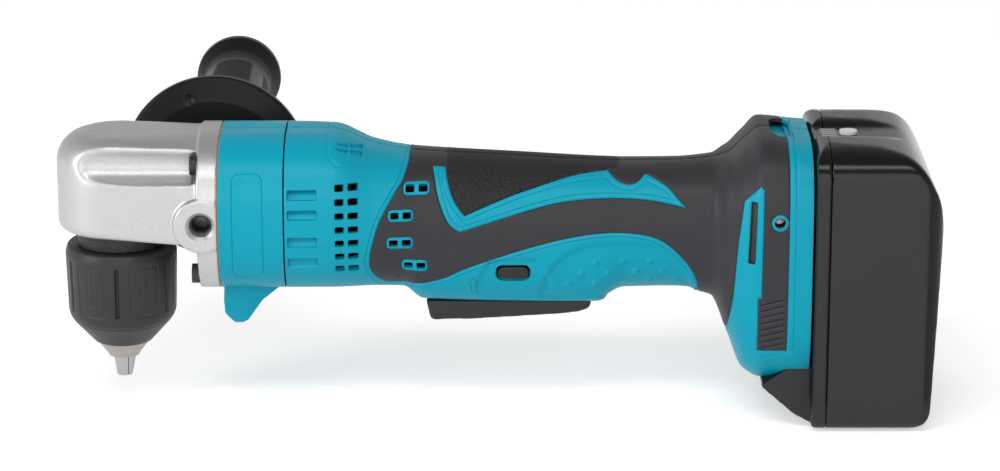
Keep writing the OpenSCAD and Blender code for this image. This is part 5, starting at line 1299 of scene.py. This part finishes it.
def angle_head():
    """Cast head: nose, flange and bosses, with grooves for screws and a hole in each side."""
    profile = filleted([(0, -HEAD_BOTTOM, 0), (NOSE_R, -HEAD_BOTTOM, 3), (NOSE_R, HEAD_TOP, NOSE_ROUND),
                        (0, HEAD_TOP, 0)], 14)
    angles = np.linspace(0, 2 * math.pi, 90, endpoint=False)
    nose = rings(2, (0, 0), profile[:, ::-1], angles)
    back = [(X_FLANGE + 1, y, z) for y, z in section_outline(-FLANGE_STEP, -HEAD_BOTTOM)]
    form = hull(nose + back)
    w, boss = MOTOR_HALF_W, (X_BOSS, 0)
    steps = [("UNION", prism(section_outline(), 0, X_FLANGE, X_FLANGE_BACK)),
             ("UNION", rod(1, boss, BOSS_R, -w - BOSS_PROUD, w + BOSS_PROUD, 64)),
             ("DIFFERENCE", block((X_FLANGE_BACK, -CUT_HALF_W, -CUT_HALF_W),
                                  (X_FLANGE_BACK + CUT_LEN, CUT_HALF_W, CUT_HALF_W)))]
    holes = []
    for s in (-1, 1):
        groove = hull(rings(0, (s * GROOVE_OFF, SCREW_OFF), GROOVE_ROWS, angles[::2]))
        steps.append(("DIFFERENCE", groove))
        mouth = [(s * (w + MOUTH_OUT), HOLE_R + MOUTH_R), (s * (w - MOUTH_IN), HOLE_R)]
        holes.append(hull(rings(1, boss, mouth, angles[::2])))
        holes.append(rod(1, boss, HOLE_R, *sorted((s * (w - HOLE_DEPTH), s * w))))
    steps.append(("DIFFERENCE", rod(2, (0, 0), SEAT_R, SEAT_LOW, SEAT_HIGH, 96)))
    mesh = carved(form, steps, voxel=0.5, rounds=6)
    soften(mesh, by_grooves, rounds=45)
    mesh = drilled(mesh, holes)
    shade(mesh, smooth_angle=40)
    new_object("angle_head", mesh, "body", ALUMINIUM, ["gear_housing"])


# Chuck sleeve

SLEEVE_R = span("chuck_sleeve", 1)[1]
Z_SLEEVE, Z_RIM = span("chuck_sleeve", 2)
SLEEVE_LEN = Z_RIM - Z_SLEEVE
SLEEVE_TIP_R = 10.9
SLEEVE_BORE_R = 15.1
SLEEVE_PANELS = 6
# Outline of a panel: foot, distance of its head from the rim, half width and corner, and its line
PANEL_FOOT, PANEL_HEAD, PANEL_HALF_W, PANEL_R = 0.36, 5, 5.6, 1.6
PANEL_DEPTH, PANEL_LINE = 0.28, 0.45
# Narrow outline in the upper part of a panel
INNER_HALF_W, INNER_SHARE, INNER_LIFT, INNER_R = 1.1, 0.8, 0.2, 0.9
INNER_DEPTH, INNER_LINE = 0.22, 0.4
# Slits between panels, and a line round the sleeve
SLIT_HALF_W, SLIT_DEPTH, SLIT_SLOPE = 0.55, 1.1, 0.3
BAND_SHARE, BAND_DEPTH, BAND_HALF_W = 0.235, 0.2, 0.5


def box_gap(u, v, w, h, r):
    """Distance from the edge of a rounded box, less than zero inside it."""
    dx, dz = np.abs(u) - w + r, np.abs(v) - h + r
    return np.hypot(np.maximum(dx, 0), np.maximum(dz, 0)) + np.minimum(np.maximum(dx, dz), 0) - r


def sleeve_relief(angle, height):
    """Depth of the outlines of panels, the slits between them and the line round the sleeve."""
    pitch = 2 * math.pi / SLEEVE_PANELS
    low, high = Z_SLEEVE + PANEL_FOOT * SLEEVE_LEN, Z_RIM - PANEL_HEAD
    s = ((angle + pitch / 2) % pitch - pitch / 2) * SLEEVE_R
    middle, half_h = (low + high) / 2, (high - low) / 2
    outer = box_gap(s, height - middle, PANEL_HALF_W, half_h, PANEL_R)
    inner = box_gap(s, height - middle - INNER_LIFT * half_h, INNER_HALF_W, INNER_SHARE * half_h, INNER_R)
    depth = (PANEL_DEPTH * np.clip(1 - np.abs(outer) / PANEL_LINE, 0, 1)
             + INNER_DEPTH * np.clip(1 - np.abs(inner) / INNER_LINE, 0, 1))
    between = np.abs(((angle + pitch) % pitch - pitch / 2) * SLEEVE_R)
    slit = np.maximum(between - SLIT_HALF_W, np.abs(height - middle) - half_h)
    depth += SLIT_DEPTH * np.clip(0.5 - slit / SLIT_SLOPE, 0, 1)
    band = np.abs(height - (Z_SLEEVE + BAND_SHARE * SLEEVE_LEN))
    return depth + BAND_DEPTH * np.clip(1 - band / BAND_HALF_W, 0, 1)


def chuck_sleeve():
    """Turned sleeve with moulded panels."""
    outline = filleted([
        (SLEEVE_BORE_R, Z_RIM - 3, 0), (SLEEVE_BORE_R, Z_RIM, 0.4), (SLEEVE_R - 0.9, Z_RIM, 1.4),
        (SLEEVE_R, Z_RIM - 3, 6), (0.965 * SLEEVE_R, Z_SLEEVE + 0.27 * SLEEVE_LEN, 8),
        (SLEEVE_TIP_R, Z_SLEEVE, 0.6), (SLEEVE_TIP_R - 0.5, Z_SLEEVE, 0),
        (SLEEVE_TIP_R - 0.5, Z_SLEEVE + 1.5, 0)], 9)
    line = polyline(outline, 0.4, False)
    mesh, _ = revolved("chuck_sleeve", line[::-1], 420, (0, 0, 0), 2, sleeve_relief)
    new_object("chuck_sleeve_skin", mesh, "chuck_sleeve", BLACK, ["chuck_sleeve"])


# Side handle

HANDLE_START, HANDLE_END = span("side_handle_grip", 1)
HANDLE_LEN = HANDLE_END - HANDLE_START
GUARD_R = span("side_handle_grip", 2)[1]
GUARD_OFF = 18
HANDLE_GRIP_R = 15.4
HANDLE_END_R = 17.4
# Rough patches: distance from either end of the handle, half width as a share of the pitch, and depth
PATCHES = 4
PATCH_START, PATCH_END, PATCH_FADE = 45, 26, 1.5
PATCH_HALF_W, PATCH_EDGE, PATCH_DEPTH = 0.36, 0.02, 0.25
# Lines round the grip, at a distance from either end
RING_START, RING_END, RING_HALF_W, RING_DEPTH = 38, 20, 0.7, 0.4
GUARD_DIMPLE, GUARD_DIMPLE_R, GUARD_DIMPLE_DEPTH = (22.5, 27), 2.2, 0.9


def handle_patch(angle, height):
    """One on the rough patches of the grip, zero on the straps between them."""
    s = np.abs((angle / (2 * math.pi) * PATCHES + 0.5) % 1 - 0.5)
    along = np.clip((height - HANDLE_START - PATCH_START) / PATCH_FADE, 0, 1)
    along *= np.clip((HANDLE_START + HANDLE_LEN - PATCH_END - height) / PATCH_FADE, 0, 1)
    return np.clip((PATCH_HALF_W - s) / PATCH_EDGE, 0, 1) * along


def handle_relief(angle, height):
    """Depth of the rough patches and of the lines round the grip."""
    ring = np.abs(height - HANDLE_START - RING_START)
    ring = np.minimum(ring, np.abs(height - HANDLE_END + RING_END))
    return PATCH_DEPTH * handle_patch(angle, height) + RING_DEPTH * np.clip(1 - ring / RING_HALF_W, 0, 1)


def dimple(mesh, place, radius, depth):
    """Presses a round dimple into the guard's face, seen along Y."""
    points, _ = mesh_points(mesh)
    gap = np.hypot(points[:, 0] - place[0], points[:, 2] - place[1])
    near = (gap < radius) & (points[:, 1] < HANDLE_START + GUARD_OFF + 1)
    points[near, 1] += depth * np.cos(gap[near] / radius * math.pi / 2)
    place_points(mesh, points)


def side_handle():
    """Turned grip with a guard, rough patches and a dimple."""
    rim, neck = 0.12 * GUARD_R, 0.86 * HANDLE_GRIP_R
    outline = filleted([
        (0, 0, 0), (BOSS_R, 0, rim / 4), (1.1 * BOSS_R, 0.8 * GUARD_OFF, 0.7 * rim),
        (GUARD_R - 2 * rim, 0.86 * GUARD_OFF, 1.4 * rim), (GUARD_R, GUARD_OFF + 0.1 * rim, 0.35 * rim),
        (GUARD_R, GUARD_OFF + rim, 0.35 * rim), (GUARD_R - rim, GUARD_OFF + 1.4 * rim, 0.45 * rim),
        (HANDLE_GRIP_R, GUARD_OFF + 1.6 * rim, 0.7 * rim),
        (neck, GUARD_OFF + 4 * rim, 0.8 * HANDLE_GRIP_R),
        (HANDLE_GRIP_R, 0.55 * HANDLE_LEN, 0.38 * HANDLE_LEN),
        (neck, HANDLE_LEN - 3 * rim, 0.65 * HANDLE_GRIP_R),
        (HANDLE_END_R, HANDLE_LEN - 1.2 * rim, 0.45 * rim), (HANDLE_END_R, HANDLE_LEN, 0.45 * rim),
        (0.01, HANDLE_LEN, 0)], 9)
    line = polyline(outline, 0.8, False) + (0, HANDLE_START)
    mesh, angles = revolved("side_handle", line, 240, (X_BOSS, 0, 0), 1, handle_relief, 40)
    grain = handle_patch(np.tile(angles, len(line)), np.repeat(line[:, 1], len(angles)))
    set_attribute(mesh, "grain", grain)
    dimple(mesh, GUARD_DIMPLE, GUARD_DIMPLE_R, GUARD_DIMPLE_DEPTH)
    new_object("side_handle_skin", mesh, "side_handle", HANDLE_BLACK, ["side_handle_grip"])


# Trigger, with a heel whose corners are measured from its back and its lowest point

TRIGGER_HEEL = [(-48, 0.1), (-12, 2.3), (-5, 3.1), (-1.4, 4.3), (-0.2, 6), (-0.2, 7.4), (-48, 7.4)]


def trigger():
    """The solid with its heel filled out and its edges eased."""
    (_, back), across, (low, _) = TRIGGER
    heel = prism([(back + x, low + z) for x, z in TRIGGER_HEEL], 1, *across)
    mesh = carved(copied("trigger"), [("UNION", heel)], voxel=0.45, rounds=22)
    shade(mesh, smooth_angle=60)
    new_object("trigger_skin", mesh, "trigger", BLACK, ["trigger"])


# Battery

X_BATTERY = X_FOOT + 0.8
X_FORM = X_BATTERY - 9
X_SEAM = span("battery_case", 0)[0]
SEAM_HALF = 0.03
FORM_MARGIN = 5
CORNER_STEPS = 12
CHANNEL_HALF_W = 8
CHANNEL_DEPTH = 2.6
# Upper corner at the back, from the back and the top; shoulder, from the side and the top; and the
# channel's edge, from the middle and the top
BACK_CURVE = [(0, -30), (-1.3, -21), (-3.9, -14), (-8, -7.2), (-14, -2.7), (-24, -0.5)]
SHOULDER = [(0, -13), (-0.25, -9.8), (-1.4, -6.5), (-4, -3.5), (-9, -1.1), (-15, -0.1)]
CHANNEL_EDGE = [(14, -0.1), (10.6, -0.7), (8.9, -1.7), (CHANNEL_HALF_W, -CHANNEL_DEPTH)]
# Part of the case that is eased further: behind the seam, and from below the top
SHOULDER_BEHIND, SHOULDER_BELOW = 9, 16
# The polish fades in as the face turns from the side, and with height
GLOSS_FROM, GLOSS_FADE, GLOSS_LOW, GLOSS_RISE = 0.985, 0.03, 70, 6
HUMP_TIP = 18
HUMP_HALF_W = 30
HUMP_TOP = -47.9
# Rails that slide on the foot, their lips and the slots for contacts
RAIL_X = span("battery_cover", 0)[0] + HUMP_TIP - 7
RAIL_HALF_W, RAIL_TOP = 24.7, 23.6
LIP_HALF_W, LIP_LOW, LIP_TOP, LIP_THICK = 28.7, -45.6, 20, 2.6
CONTACT_Y, CONTACT_HALF_W, CONTACT_LOW, CONTACT_TOP, CONTACT_DEPTH = 9, 1.1, -26, 11, 8
FAR_OUT = 200
RELEASE_TRAVEL = joint_named("release_press")["range_m"][1] / MM
RELEASE_GAP = 0.35


def battery_side():
    """Outline of the battery seen from the side."""
    x, top = X_BATTERY_BACK, BATTERY_TOP
    back = spline([(x + along, top + up) for along, up in BACK_CURVE], 1)
    (_, start), (end, _) = BACK_CURVE[0], BACK_CURVE[-1]
    low = filleted([(X_BATTERY, BATTERY_LOW, 3), (x - 3.6, BATTERY_LOW, 9), (x, top + start, 0),
                    (x + end, top, 0), (X_BATTERY, top, 6)], CORNER_STEPS)
    # The curve takes the place of the two sharp corners
    sharp = 2 * (CORNER_STEPS + 1)
    return np.concatenate([low[:sharp], back, low[sharp + 2:]])


def battery_section():
    """Outline across the battery: flat sides, rolled shoulders and a channel along the top."""
    w, top = BATTERY_HALF_W, BATTERY_TOP
    shoulder = [(w + across, top + up) for across, up in SHOULDER]
    shoulder = spline(shoulder + [(across, top + up) for across, up in CHANNEL_EDGE], 1)
    corners = [(0, BATTERY_LOW, 0), (w, BATTERY_LOW, 7), (w, top + SHOULDER[0][1], 0)]
    half = np.concatenate([filleted(corners, CORNER_STEPS)[:-1], shoulder])
    return np.concatenate([half, half[::-1] * (-1, 1)])[:-1]


def battery_form():
    """Form of the whole battery, with the cuts that shape it."""
    w, x = BATTERY_HALF_W, X_BATTERY_BACK
    plan = filleted([(X_FORM, -w, 0), (x, -w, 8), (x, w, 8), (X_FORM, w, 0)], CORNER_STEPS)
    return prism(battery_side(), 1, -w, w), [
        ("INTERSECT", prism(battery_section(), 0, X_FORM, x + FORM_MARGIN)),
        ("INTERSECT", prism(plan, 2, BATTERY_LOW - FORM_MARGIN, BATTERY_TOP + FORM_MARGIN))]


def set_gloss(mesh):
    """Marks the polished shoulders and edges, away from the flat sides."""
    points, normals = mesh_points(mesh)
    polished = np.clip((GLOSS_FROM - np.abs(normals[:, 1])) / GLOSS_FADE, 0, 1)
    set_attribute(mesh, "gloss", polished * np.clip((points[:, 2] + GLOSS_LOW) / GLOSS_RISE, 0, 1))


def by_shoulder(points):
    """Which points of the case lie along its upper edge at the back."""
    return (points[:, 0] > X_SEAM + SHOULDER_BEHIND) & (points[:, 2] > BATTERY_TOP - SHOULDER_BELOW)


def battery_case():
    """Shell behind the seam."""
    form, steps = battery_form()
    steps.append(("DIFFERENCE", block((0, -FAR_OUT, -FAR_OUT), (X_SEAM + SEAM_HALF, FAR_OUT, FAR_OUT))))
    mesh = carved(form, steps, voxel=0.6, rounds=4)
    soften(mesh, by_shoulder, rounds=30)
    shade(mesh, smooth_angle=60)
    set_gloss(mesh)
    new_object("battery_case_skin", mesh, "battery", BATTERY_BLACK, ["battery_case"])


def battery_cover():
    """Shell before the seam, with the hump, the rails and the pocket of the release button."""
    form, steps = battery_form()
    back = block((X_SEAM - SEAM_HALF, -FAR_OUT, -FAR_OUT), (2 * FAR_OUT, FAR_OUT, FAR_OUT))
    root, tip, gap = X_BATTERY + 1, X_BATTERY - HUMP_TIP, RELEASE_GAP
    hump = filleted([(root, HUMP_TOP, 0), (tip, -60.6, 1), (tip, -61.7, 1), (tip + 12.2, -72.4, 6),
                     (root, BATTERY_LOW + 1, 0)])
    (x0, x1), (y0, y1), (z0, z1) = (span("battery_release_button", axis) for axis in range(3))
    steps += [("DIFFERENCE", back), ("UNION", prism(hump, 1, -HUMP_HALF_W, HUMP_HALF_W)),
              ("UNION", block((RAIL_X, -RAIL_HALF_W, HUMP_TOP), (root, RAIL_HALF_W, RAIL_TOP))),
              ("UNION", block((RAIL_X, -LIP_HALF_W, LIP_LOW), (RAIL_X + LIP_THICK, LIP_HALF_W, LIP_TOP)))]
    late = [block((x0 - 1, y0 - gap, z0 - gap), (x1 + RELEASE_TRAVEL + gap, y1 + gap, z1 + gap))]
    for y in (-CONTACT_Y, CONTACT_Y):
        late.append(block((RAIL_X - 1, y - CONTACT_HALF_W, CONTACT_LOW),
                          (RAIL_X + CONTACT_DEPTH, y + CONTACT_HALF_W, CONTACT_TOP)))
    mesh = carved(form, steps, voxel=0.5, rounds=4, late=late)
    shade(mesh, smooth_angle=55)
    set_gloss(mesh)
    new_object("battery_cover_skin", mesh, "battery", BATTERY_BLACK, ["battery_cover"])


GAUGE_BARS = 4
GAUGE_W, GAUGE_BAR_HALF_W = 11.4, 0.85
WINDOW_START, WINDOW_END, WINDOW_HALF_W = 3.2, 10.6, 6.4


def gauge_window():
    """Window in the channel with plain bars behind it."""
    low, half_w = BATTERY_TOP - CHANNEL_DEPTH, GAUGE_BAR_HALF_W
    x0, x1 = X_BATTERY + WINDOW_START, X_BATTERY + WINDOW_END
    form = block((x0, -WINDOW_HALF_W, low - 0.4), (x1, WINDOW_HALF_W, low + 0.25))
    pane = carved(form, [], voxel=0.2, rounds=3)
    shade(pane, smooth_angle=60)
    new_object("gauge_window", pane, "battery", GLOSS_BLACK)
    pitch = GAUGE_W / GAUGE_BARS
    for k in range(GAUGE_BARS):
        y = -GAUGE_W / 2 + pitch * (k + 0.5)
        form = block((x0 + 1, y - half_w, low), (x1 - 1, y + half_w, low + 0.34))
        bar = carved(form, [], voxel=0.12, rounds=2)
        shade(bar, smooth_angle=60)
        new_object("gauge_bar_%d" % (k + 1), bar, "battery", BAR_GREY)


# Small pieces

def eased(node, name, body, material, voxel, rounds):
    """A solid with its edges eased."""
    mesh = carved(copied(node), [], voxel, rounds)
    shade(mesh, smooth_angle=60)
    new_object(name, mesh, body, material, [node])


# Thread of the free hole: its start below the face, pitch, turns, and how far its roots and crests stand in
THREAD_START, THREAD_PITCH, THREAD_TURNS = 0.9, 1.25, 9
THREAD_ROOT, THREAD_CREST = 0.04, 0.55
# Radius at which a turned piece closes on its axis
CLOSED_R = 0.02


def boss_thread():
    """Thread of the free side handle hole, on the near side."""
    start, pitch, root = -MOTOR_HALF_W + THREAD_START, THREAD_PITCH, HOLE_R - THREAD_ROOT
    line = [(root, start)]
    for k in range(THREAD_TURNS):
        line += [(HOLE_R - THREAD_CREST, start + pitch * (k + 0.5)), (root, start + pitch * (k + 1))]
    line.append((CLOSED_R, start + pitch * THREAD_TURNS))
    mesh, _ = revolved("boss_thread", line, 64, (X_BOSS, 0, 0), 1)
    new_object("boss_thread", mesh, "body", DARK_ALLOY)


HOOK_HOLE_R = 2
NUT_R, NUT_LEN, NUT_SINK, NUT_CHAMFER = 2.95, 7, 1.2, 0.5
NUT_FLANKS, NUT_THREAD_DEPTH, NUT_THREAD_START, NUT_HALF_PITCH = 14, 0.2, 0.8, 0.4
NUT_HOLE_DEPTH = 6.6


def hook_nuts():
    """Threaded nuts, set a little below the face of the foot."""
    x, z = share_points([HOOK])[0]
    face = span("hook_nuts", 1)[1] - NUT_SINK
    collar = [(NUT_R, face - NUT_LEN), (NUT_R, face), (HOOK_HOLE_R + NUT_CHAMFER, face),
              (HOOK_HOLE_R, face - NUT_CHAMFER)]
    thread = [(HOOK_HOLE_R + NUT_THREAD_DEPTH * (k % 2), face - NUT_THREAD_START - NUT_HALF_PITCH * k)
              for k in range(NUT_FLANKS)]
    line = polyline(collar + thread + [(CLOSED_R, face - NUT_HOLE_DEPTH)], 0.5, False)
    for s, side, replaced in ((-1, "near", ["hook_nuts"]), (1, "far", [])):
        mesh, _ = revolved("hook_nut", line * (1, s), 32, (x, 0, z), 1)
        new_object("hook_nut_" + side, mesh, "body", DARK_ALLOY, replaced)


def battery_look():
    """Dull plastic, polished where the mesh says so."""
    look = plastic("battery_plastic", (0.027, 0.027, 0.03), 0.5, 0.3, 0.02, 0.2)
    polished = look.attribute("gloss")
    look.set("Roughness", look.remap(polished, 0, 1, 0.5, 0.13))
    look.tint(polished, (0.006, 0.006, 0.0065))
    return look.material


def handle_look():
    """Plastic with a pebbled grain where the mesh says so."""
    look = plastic("handle_plastic", (0.007, 0.007, 0.0075), 0.42, 0.3, 0.02, 0.13)
    patch = look.attribute("grain")
    look.bump(look.times(look.cells(0.9), patch), 0.3)
    look.set("Roughness", look.remap(patch, 0, 1, 0.34, 0.6))
    return look.material


HANDLE_BLACK = handle_look()
BATTERY_BLACK = battery_look()
GLOSS_BLACK = plastic("gloss_black", (0.008, 0.008, 0.009), 0.12, 0.5, 0.004, 0.3).material
LEVER_BLACK = plastic("lever_plastic", (0.011, 0.011, 0.012), 0.3, 0.3, 0.01, 0.3).material
BAR_GREY = plastic("bar_grey", (0.3, 0.3, 0.3), 0.4, 0.2, 0.005, 0.3).material
DARK_ALLOY = metal("thread_alloy", (0.2, 0.2, 0.2), 0.35, 0.4, 0.02).material
STEEL = metal("bearing_steel", (0.62, 0.61, 0.6), 0.28, 0.5, 0.01, (1, 1, 8)).material

gear_case()
angle_head()
chuck_sleeve()
side_handle()
trigger()
battery_case()
battery_cover()
gauge_window()
hook_nuts()
boss_thread()
eased("direction_lever", "direction_lever_skin", "direction_lever", LEVER_BLACK,
      voxel=0.25, rounds=40)
eased("battery_release_button", "release_button_skin", "release_button", BLACK,
      voxel=0.35, rounds=6)


# Materials of the solids that show as they are

def paper():
    """Fibre gasket, with short fibres lying every way."""
    look = Look("gasket_paper", (0.36, 0.27, 0.11), 0.75)
    look.bump(look.noise(0.4, 4, (1, 6, 1)), 0.04)
    look.blotch(look.noise(0.8, 4), 0.4, 0.7, 0.6, (0.22, 0.15, 0.06))
    return look


def lens():
    """Clear lamp lens with faint flow marks."""
    look = Look("clear_lens", (0.92, 0.95, 0.97), 0.06)
    look.set("Transmission Weight", 0.9)
    look.set("IOR", 1.58)
    look.set("Roughness", look.remap(look.noise(3), *NOISE_RANGE, 0.04, 0.1))
    look.bump(look.noise(1.4, 1), 0.02)
    return look


def board():
    """Circuit board: solder mask over tracks, with bare pads."""
    look = Look("circuit_board", (0.02, 0.13, 0.05), 0.3)
    values = {"Vector": look.place, "Scale": 260}
    tracks = look.add("ShaderNodeTexVoronoi", values, feature="DISTANCE_TO_EDGE")
    line = look.remap(tracks.outputs["Distance"], 0.06, 0.1, 1, 0)
    look.bump(line, 0.05)
    look.tint(line, (0.04, 0.22, 0.08))
    pads = look.remap(look.cells(3.2), 0.16, 0.2, 1, 0)
    look.tint(pads, (0.55, 0.52, 0.45))
    look.vary(0.08, 2)
    return look


def laminated():
    """Iron stampings stacked along the motor axis."""
    look = metal("motor_iron", (0.2, 0.2, 0.21), 0.5, 0.6, 0.02)
    sheets = look.waves(320, "X")
    look.bump(sheets, 0.08)
    look.tint(look.remap(sheets, 0.1, 0.4, 0.5, 0), (0.08, 0.07, 0.065))
    return look


def winding():
    """Enamelled copper, wound in fine turns."""
    look = metal("copper", (0.62, 0.27, 0.12), 0.32, 0.5, 0.01)
    turns = look.waves(300, "DIAGONAL")
    look.bump(turns, 0.12)
    look.tint(look.remap(turns, 0.1, 0.5, 0.6, 0), (0.25, 0.09, 0.04))
    return look


def oxide():
    """Black oxide on steel, rubbed bright along its edges."""
    look = Look("dark_steel", (0.016, 0.0155, 0.015), 0.5, 0.35)
    look.vary(0.08, 2.5)
    look.bump(look.noise(0.5, 4), 0.08)
    look.blotch(look.noise(0.7, 4), 0.5, 0.65, 0.7, (0.06, 0.052, 0.04))
    look.wear(0.25, 1, 0.35, 0.6, 0.1, 0.7, (0.22, 0.22, 0.23))
    return look


def wrap():
    """Shrink film over the cells, with faint draw lines."""
    look = plastic("cell_wrap", (0.05, 0.13, 0.4), 0.22, 0.6, 0.01)
    look.bump(look.noise(2.4, 3, (1, 0.1, 1)), 0.06)
    return look


ROUND_SHARP = 32
SLOT_LOOKS = {
    "bearing_steel": STEEL,
    "gear_steel": metal("gear_steel", (0.4, 0.4, 0.41), 0.3, 0.35, 0.012, (1, 1, 5), 0.5).material,
    "dark_steel": oxide().material,
    "nose_steel": metal("nose_steel", (0.37, 0.33, 0.295), 0.38, 0.3, 0.015, (0.4, 0.4, 12), 0.35).material,
    "motor_iron": laminated().material,
    "copper": winding().material,
    "gasket_paper": paper().material,
    "coloured_plastic": TEAL,
    "black_rubber": RUBBER,
    "black_plastic": BLACK,
    "gloss_black": GLOSS_BLACK,
    "cast_aluminium": ALUMINIUM,
    "bracket_alloy": metal("bracket_alloy", (0.5, 0.5, 0.5), 0.4, 0.5, 0.03).material,
    "clear_lens": lens().material,
    "circuit_board": board().material,
    "wire_sleeve": plastic("wire_sleeve", (0.34, 0.015, 0.012), 0.42, 0.4, 0.012).material,
    "cell_wrap": wrap().material,
    "pale_button": plastic("pale_button", (0.62, 0.62, 0.6), 0.34, 0.3, 0.01).material,
}


def dress_solids():
    """Gives every solid the look of its material slot and smooth shading between its edges."""
    for part in frame["record"]["subparts"]:
        mesh = frame["nodes"][part["node"]].data
        mesh.materials.clear()
        mesh.materials.append(SLOT_LOOKS[part["material_slot"]])
        mesh.shade_smooth()
        mesh.set_sharp_from_angle(angle=math.radians(ROUND_SHARP))


dress_solids()


# Springs

def squashed_spring(joint_name, body, axis):
    """Copy of the coil spring that a joint presses, on the joint's body in place of the solid."""
    joint = joint_named(joint_name)
    pressed = joint["deforming_nodes"][0]
    node = pressed["node"]
    low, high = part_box(node)
    anchor = [(a + b) / 2 for a, b in zip(low, high)]
    anchor[axis] = pressed["fixed_end_%s_m" % "xyz"[axis]]
    coil = frame["nodes"][node].data.copy()
    spring = new_object(node + "_coil", coil, body, STEEL, [node])
    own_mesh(spring)


squashed_spring("plunger_slide", "body", 2)
squashed_spring("release_press", "battery", 0)


# Housing screws

SCREW_HEAD_R = 3.3
SCREW_HEAD_H = 5
SCREW_SINK = 0.5
CROSS_HALF_W, CROSS_HALF_L, CROSS_DEPTH = 0.45, 1.9, 1.6


def housing_screws():
    """Cross-recessed heads, set below the skin of the far half."""
    side = housing_side()
    for k, (x, z) in enumerate(share_points(SCREWS)):
        ring = side.spread(circle(x, z, SCREW_HOLE_R))
        face = np.min(-side.point(ring[:, 0], ring[:, 1])[:, 1]) - SCREW_SINK
        cuts = []
        for half_x, half_z in ((CROSS_HALF_L, CROSS_HALF_W), (CROSS_HALF_W, CROSS_HALF_L)):
            cut = block((x - half_x, face - CROSS_DEPTH, z - half_z), (x + half_x, face + 1, z + half_z))
            cuts.append(("DIFFERENCE", cut))
        form = rod(1, (x, z), SCREW_HEAD_R, face - SCREW_HEAD_H, face)
        head = carved(form, cuts, voxel=0.25, rounds=3)
        shade(head, smooth_angle=50)
        replaced = ["housing_screws"] if k == 0 else []
        name = "housing_screw_%d" % (k + 1)
        new_object(name, head, "body", SLOT_LOOKS["dark_steel"], replaced)


housing_screws()


# Camera, lights and floor

CAMERA_TILT = 17
CAMERA_DISTANCE = 1.4
CAMERA_LENS = 135.5
SENSOR_W = 36
CAMERA_TARGET = (0.141, 0, 0.05405)
# Name, place, target, size and power
LIGHTS = [("key", (0.05, -0.75, 1.1), (0.12, 0, 0.05), (1, 0.3), 6),
          ("front", (0.2, -1.6, 0.5), (0.14, 0, 0.05), (1.2, 0.6), 6),
          ("left", (-0.95, -0.5, 0.42), (0.16, 0, 0.05), (0.4, 0.5), 6)]
FLOOR_HALF_W, FLOOR_GAP, FLOOR_GLOW = 4, 0.0005, 0.42
WORLD_LOW, WORLD_HIGH = 0.85, 0.3
WHITE = (1, 1, 1, 1)


def aim(obj, target):
    """Turns an object's -Z axis to a target."""
    obj.rotation_euler = (Vector(target) - obj.location).to_track_quat("-Z", "Y").to_euler()


def add_camera():
    """Camera in front of the near side, a little above it."""
    data = bpy.data.cameras.new("camera")
    data.lens = CAMERA_LENS
    data.sensor_width = SENSOR_W
    camera = linked("camera", data)
    tilt = math.radians(CAMERA_TILT)
    target = Vector(CAMERA_TARGET)
    camera.location = target + CAMERA_DISTANCE * Vector((0, -math.cos(tilt), math.sin(tilt)))
    aim(camera, target)
    bpy.context.scene.camera = camera


def add_light(name, place, target, size, power):
    """Flat light that faces a target."""
    data = bpy.data.lights.new(name, "AREA")
    data.shape = "RECTANGLE"
    data.size, data.size_y = size
    data.energy = power
    light = linked(name, data)
    light.location = place
    aim(light, target)


def seen_rays(tree):
    """One for rays that show the background: from the camera, or by way of metal or glass."""
    path = add_node(tree, "ShaderNodeLightPath")
    total = path.outputs["Is Camera Ray"]
    for name in ("Is Glossy Ray", "Is Transmission Ray"):
        values = {0: total, 1: path.outputs[name]}
        total = add_node(tree, "ShaderNodeMath", values, operation="MAXIMUM").outputs[0]
    return total


def add_floor():
    """Pale floor that glows to white where it is seen."""
    mesh = bpy.data.meshes.new("floor")
    w, z = FLOOR_HALF_W, cad_box[0][2] - FLOOR_GAP
    mesh.from_pydata([(-w, -w, z), (w, -w, z), (w, w, z), (-w, w, z)], [], [(0, 1, 2, 3)])
    floor = linked("floor", mesh)
    look = Look("floor", (0.9, 0.9, 0.9), 0.9)
    look.set("Emission Color", WHITE)
    look.set("Emission Strength", look.times(seen_rays(look.tree), FLOOR_GLOW))
    mesh.materials.append(look.material)


def set_world():
    """White as seen by the camera; as light it is bright at the horizon and dim overhead."""
    world = bpy.data.worlds.new("studio")
    world.use_nodes = True
    tree = world.node_tree
    place = add_node(tree, "ShaderNodeTexCoord").outputs["Generated"]
    height = add_node(tree, "ShaderNodeSeparateXYZ", {0: place}).outputs["Z"]
    values = {"Value": height, "From Min": 0, "From Max": 1, "To Min": WORLD_LOW, "To Max": WORLD_HIGH}
    fade = add_node(tree, "ShaderNodeMapRange", values).outputs["Result"]
    camera_ray = add_node(tree, "ShaderNodeLightPath").outputs["Is Camera Ray"]
    strength = add_node(tree, "ShaderNodeMath", {0: fade, 1: camera_ray}, operation="MAXIMUM").outputs[0]
    background = tree.nodes["Background"]
    feed(tree, background.inputs["Strength"], strength)
    feed(tree, background.inputs["Color"], WHITE)
    bpy.context.scene.world = world


add_camera()
for light in LIGHTS:
    add_light(*light)
add_floor()
set_world()
bpy.context.scene.view_settings.view_transform = "Standard"
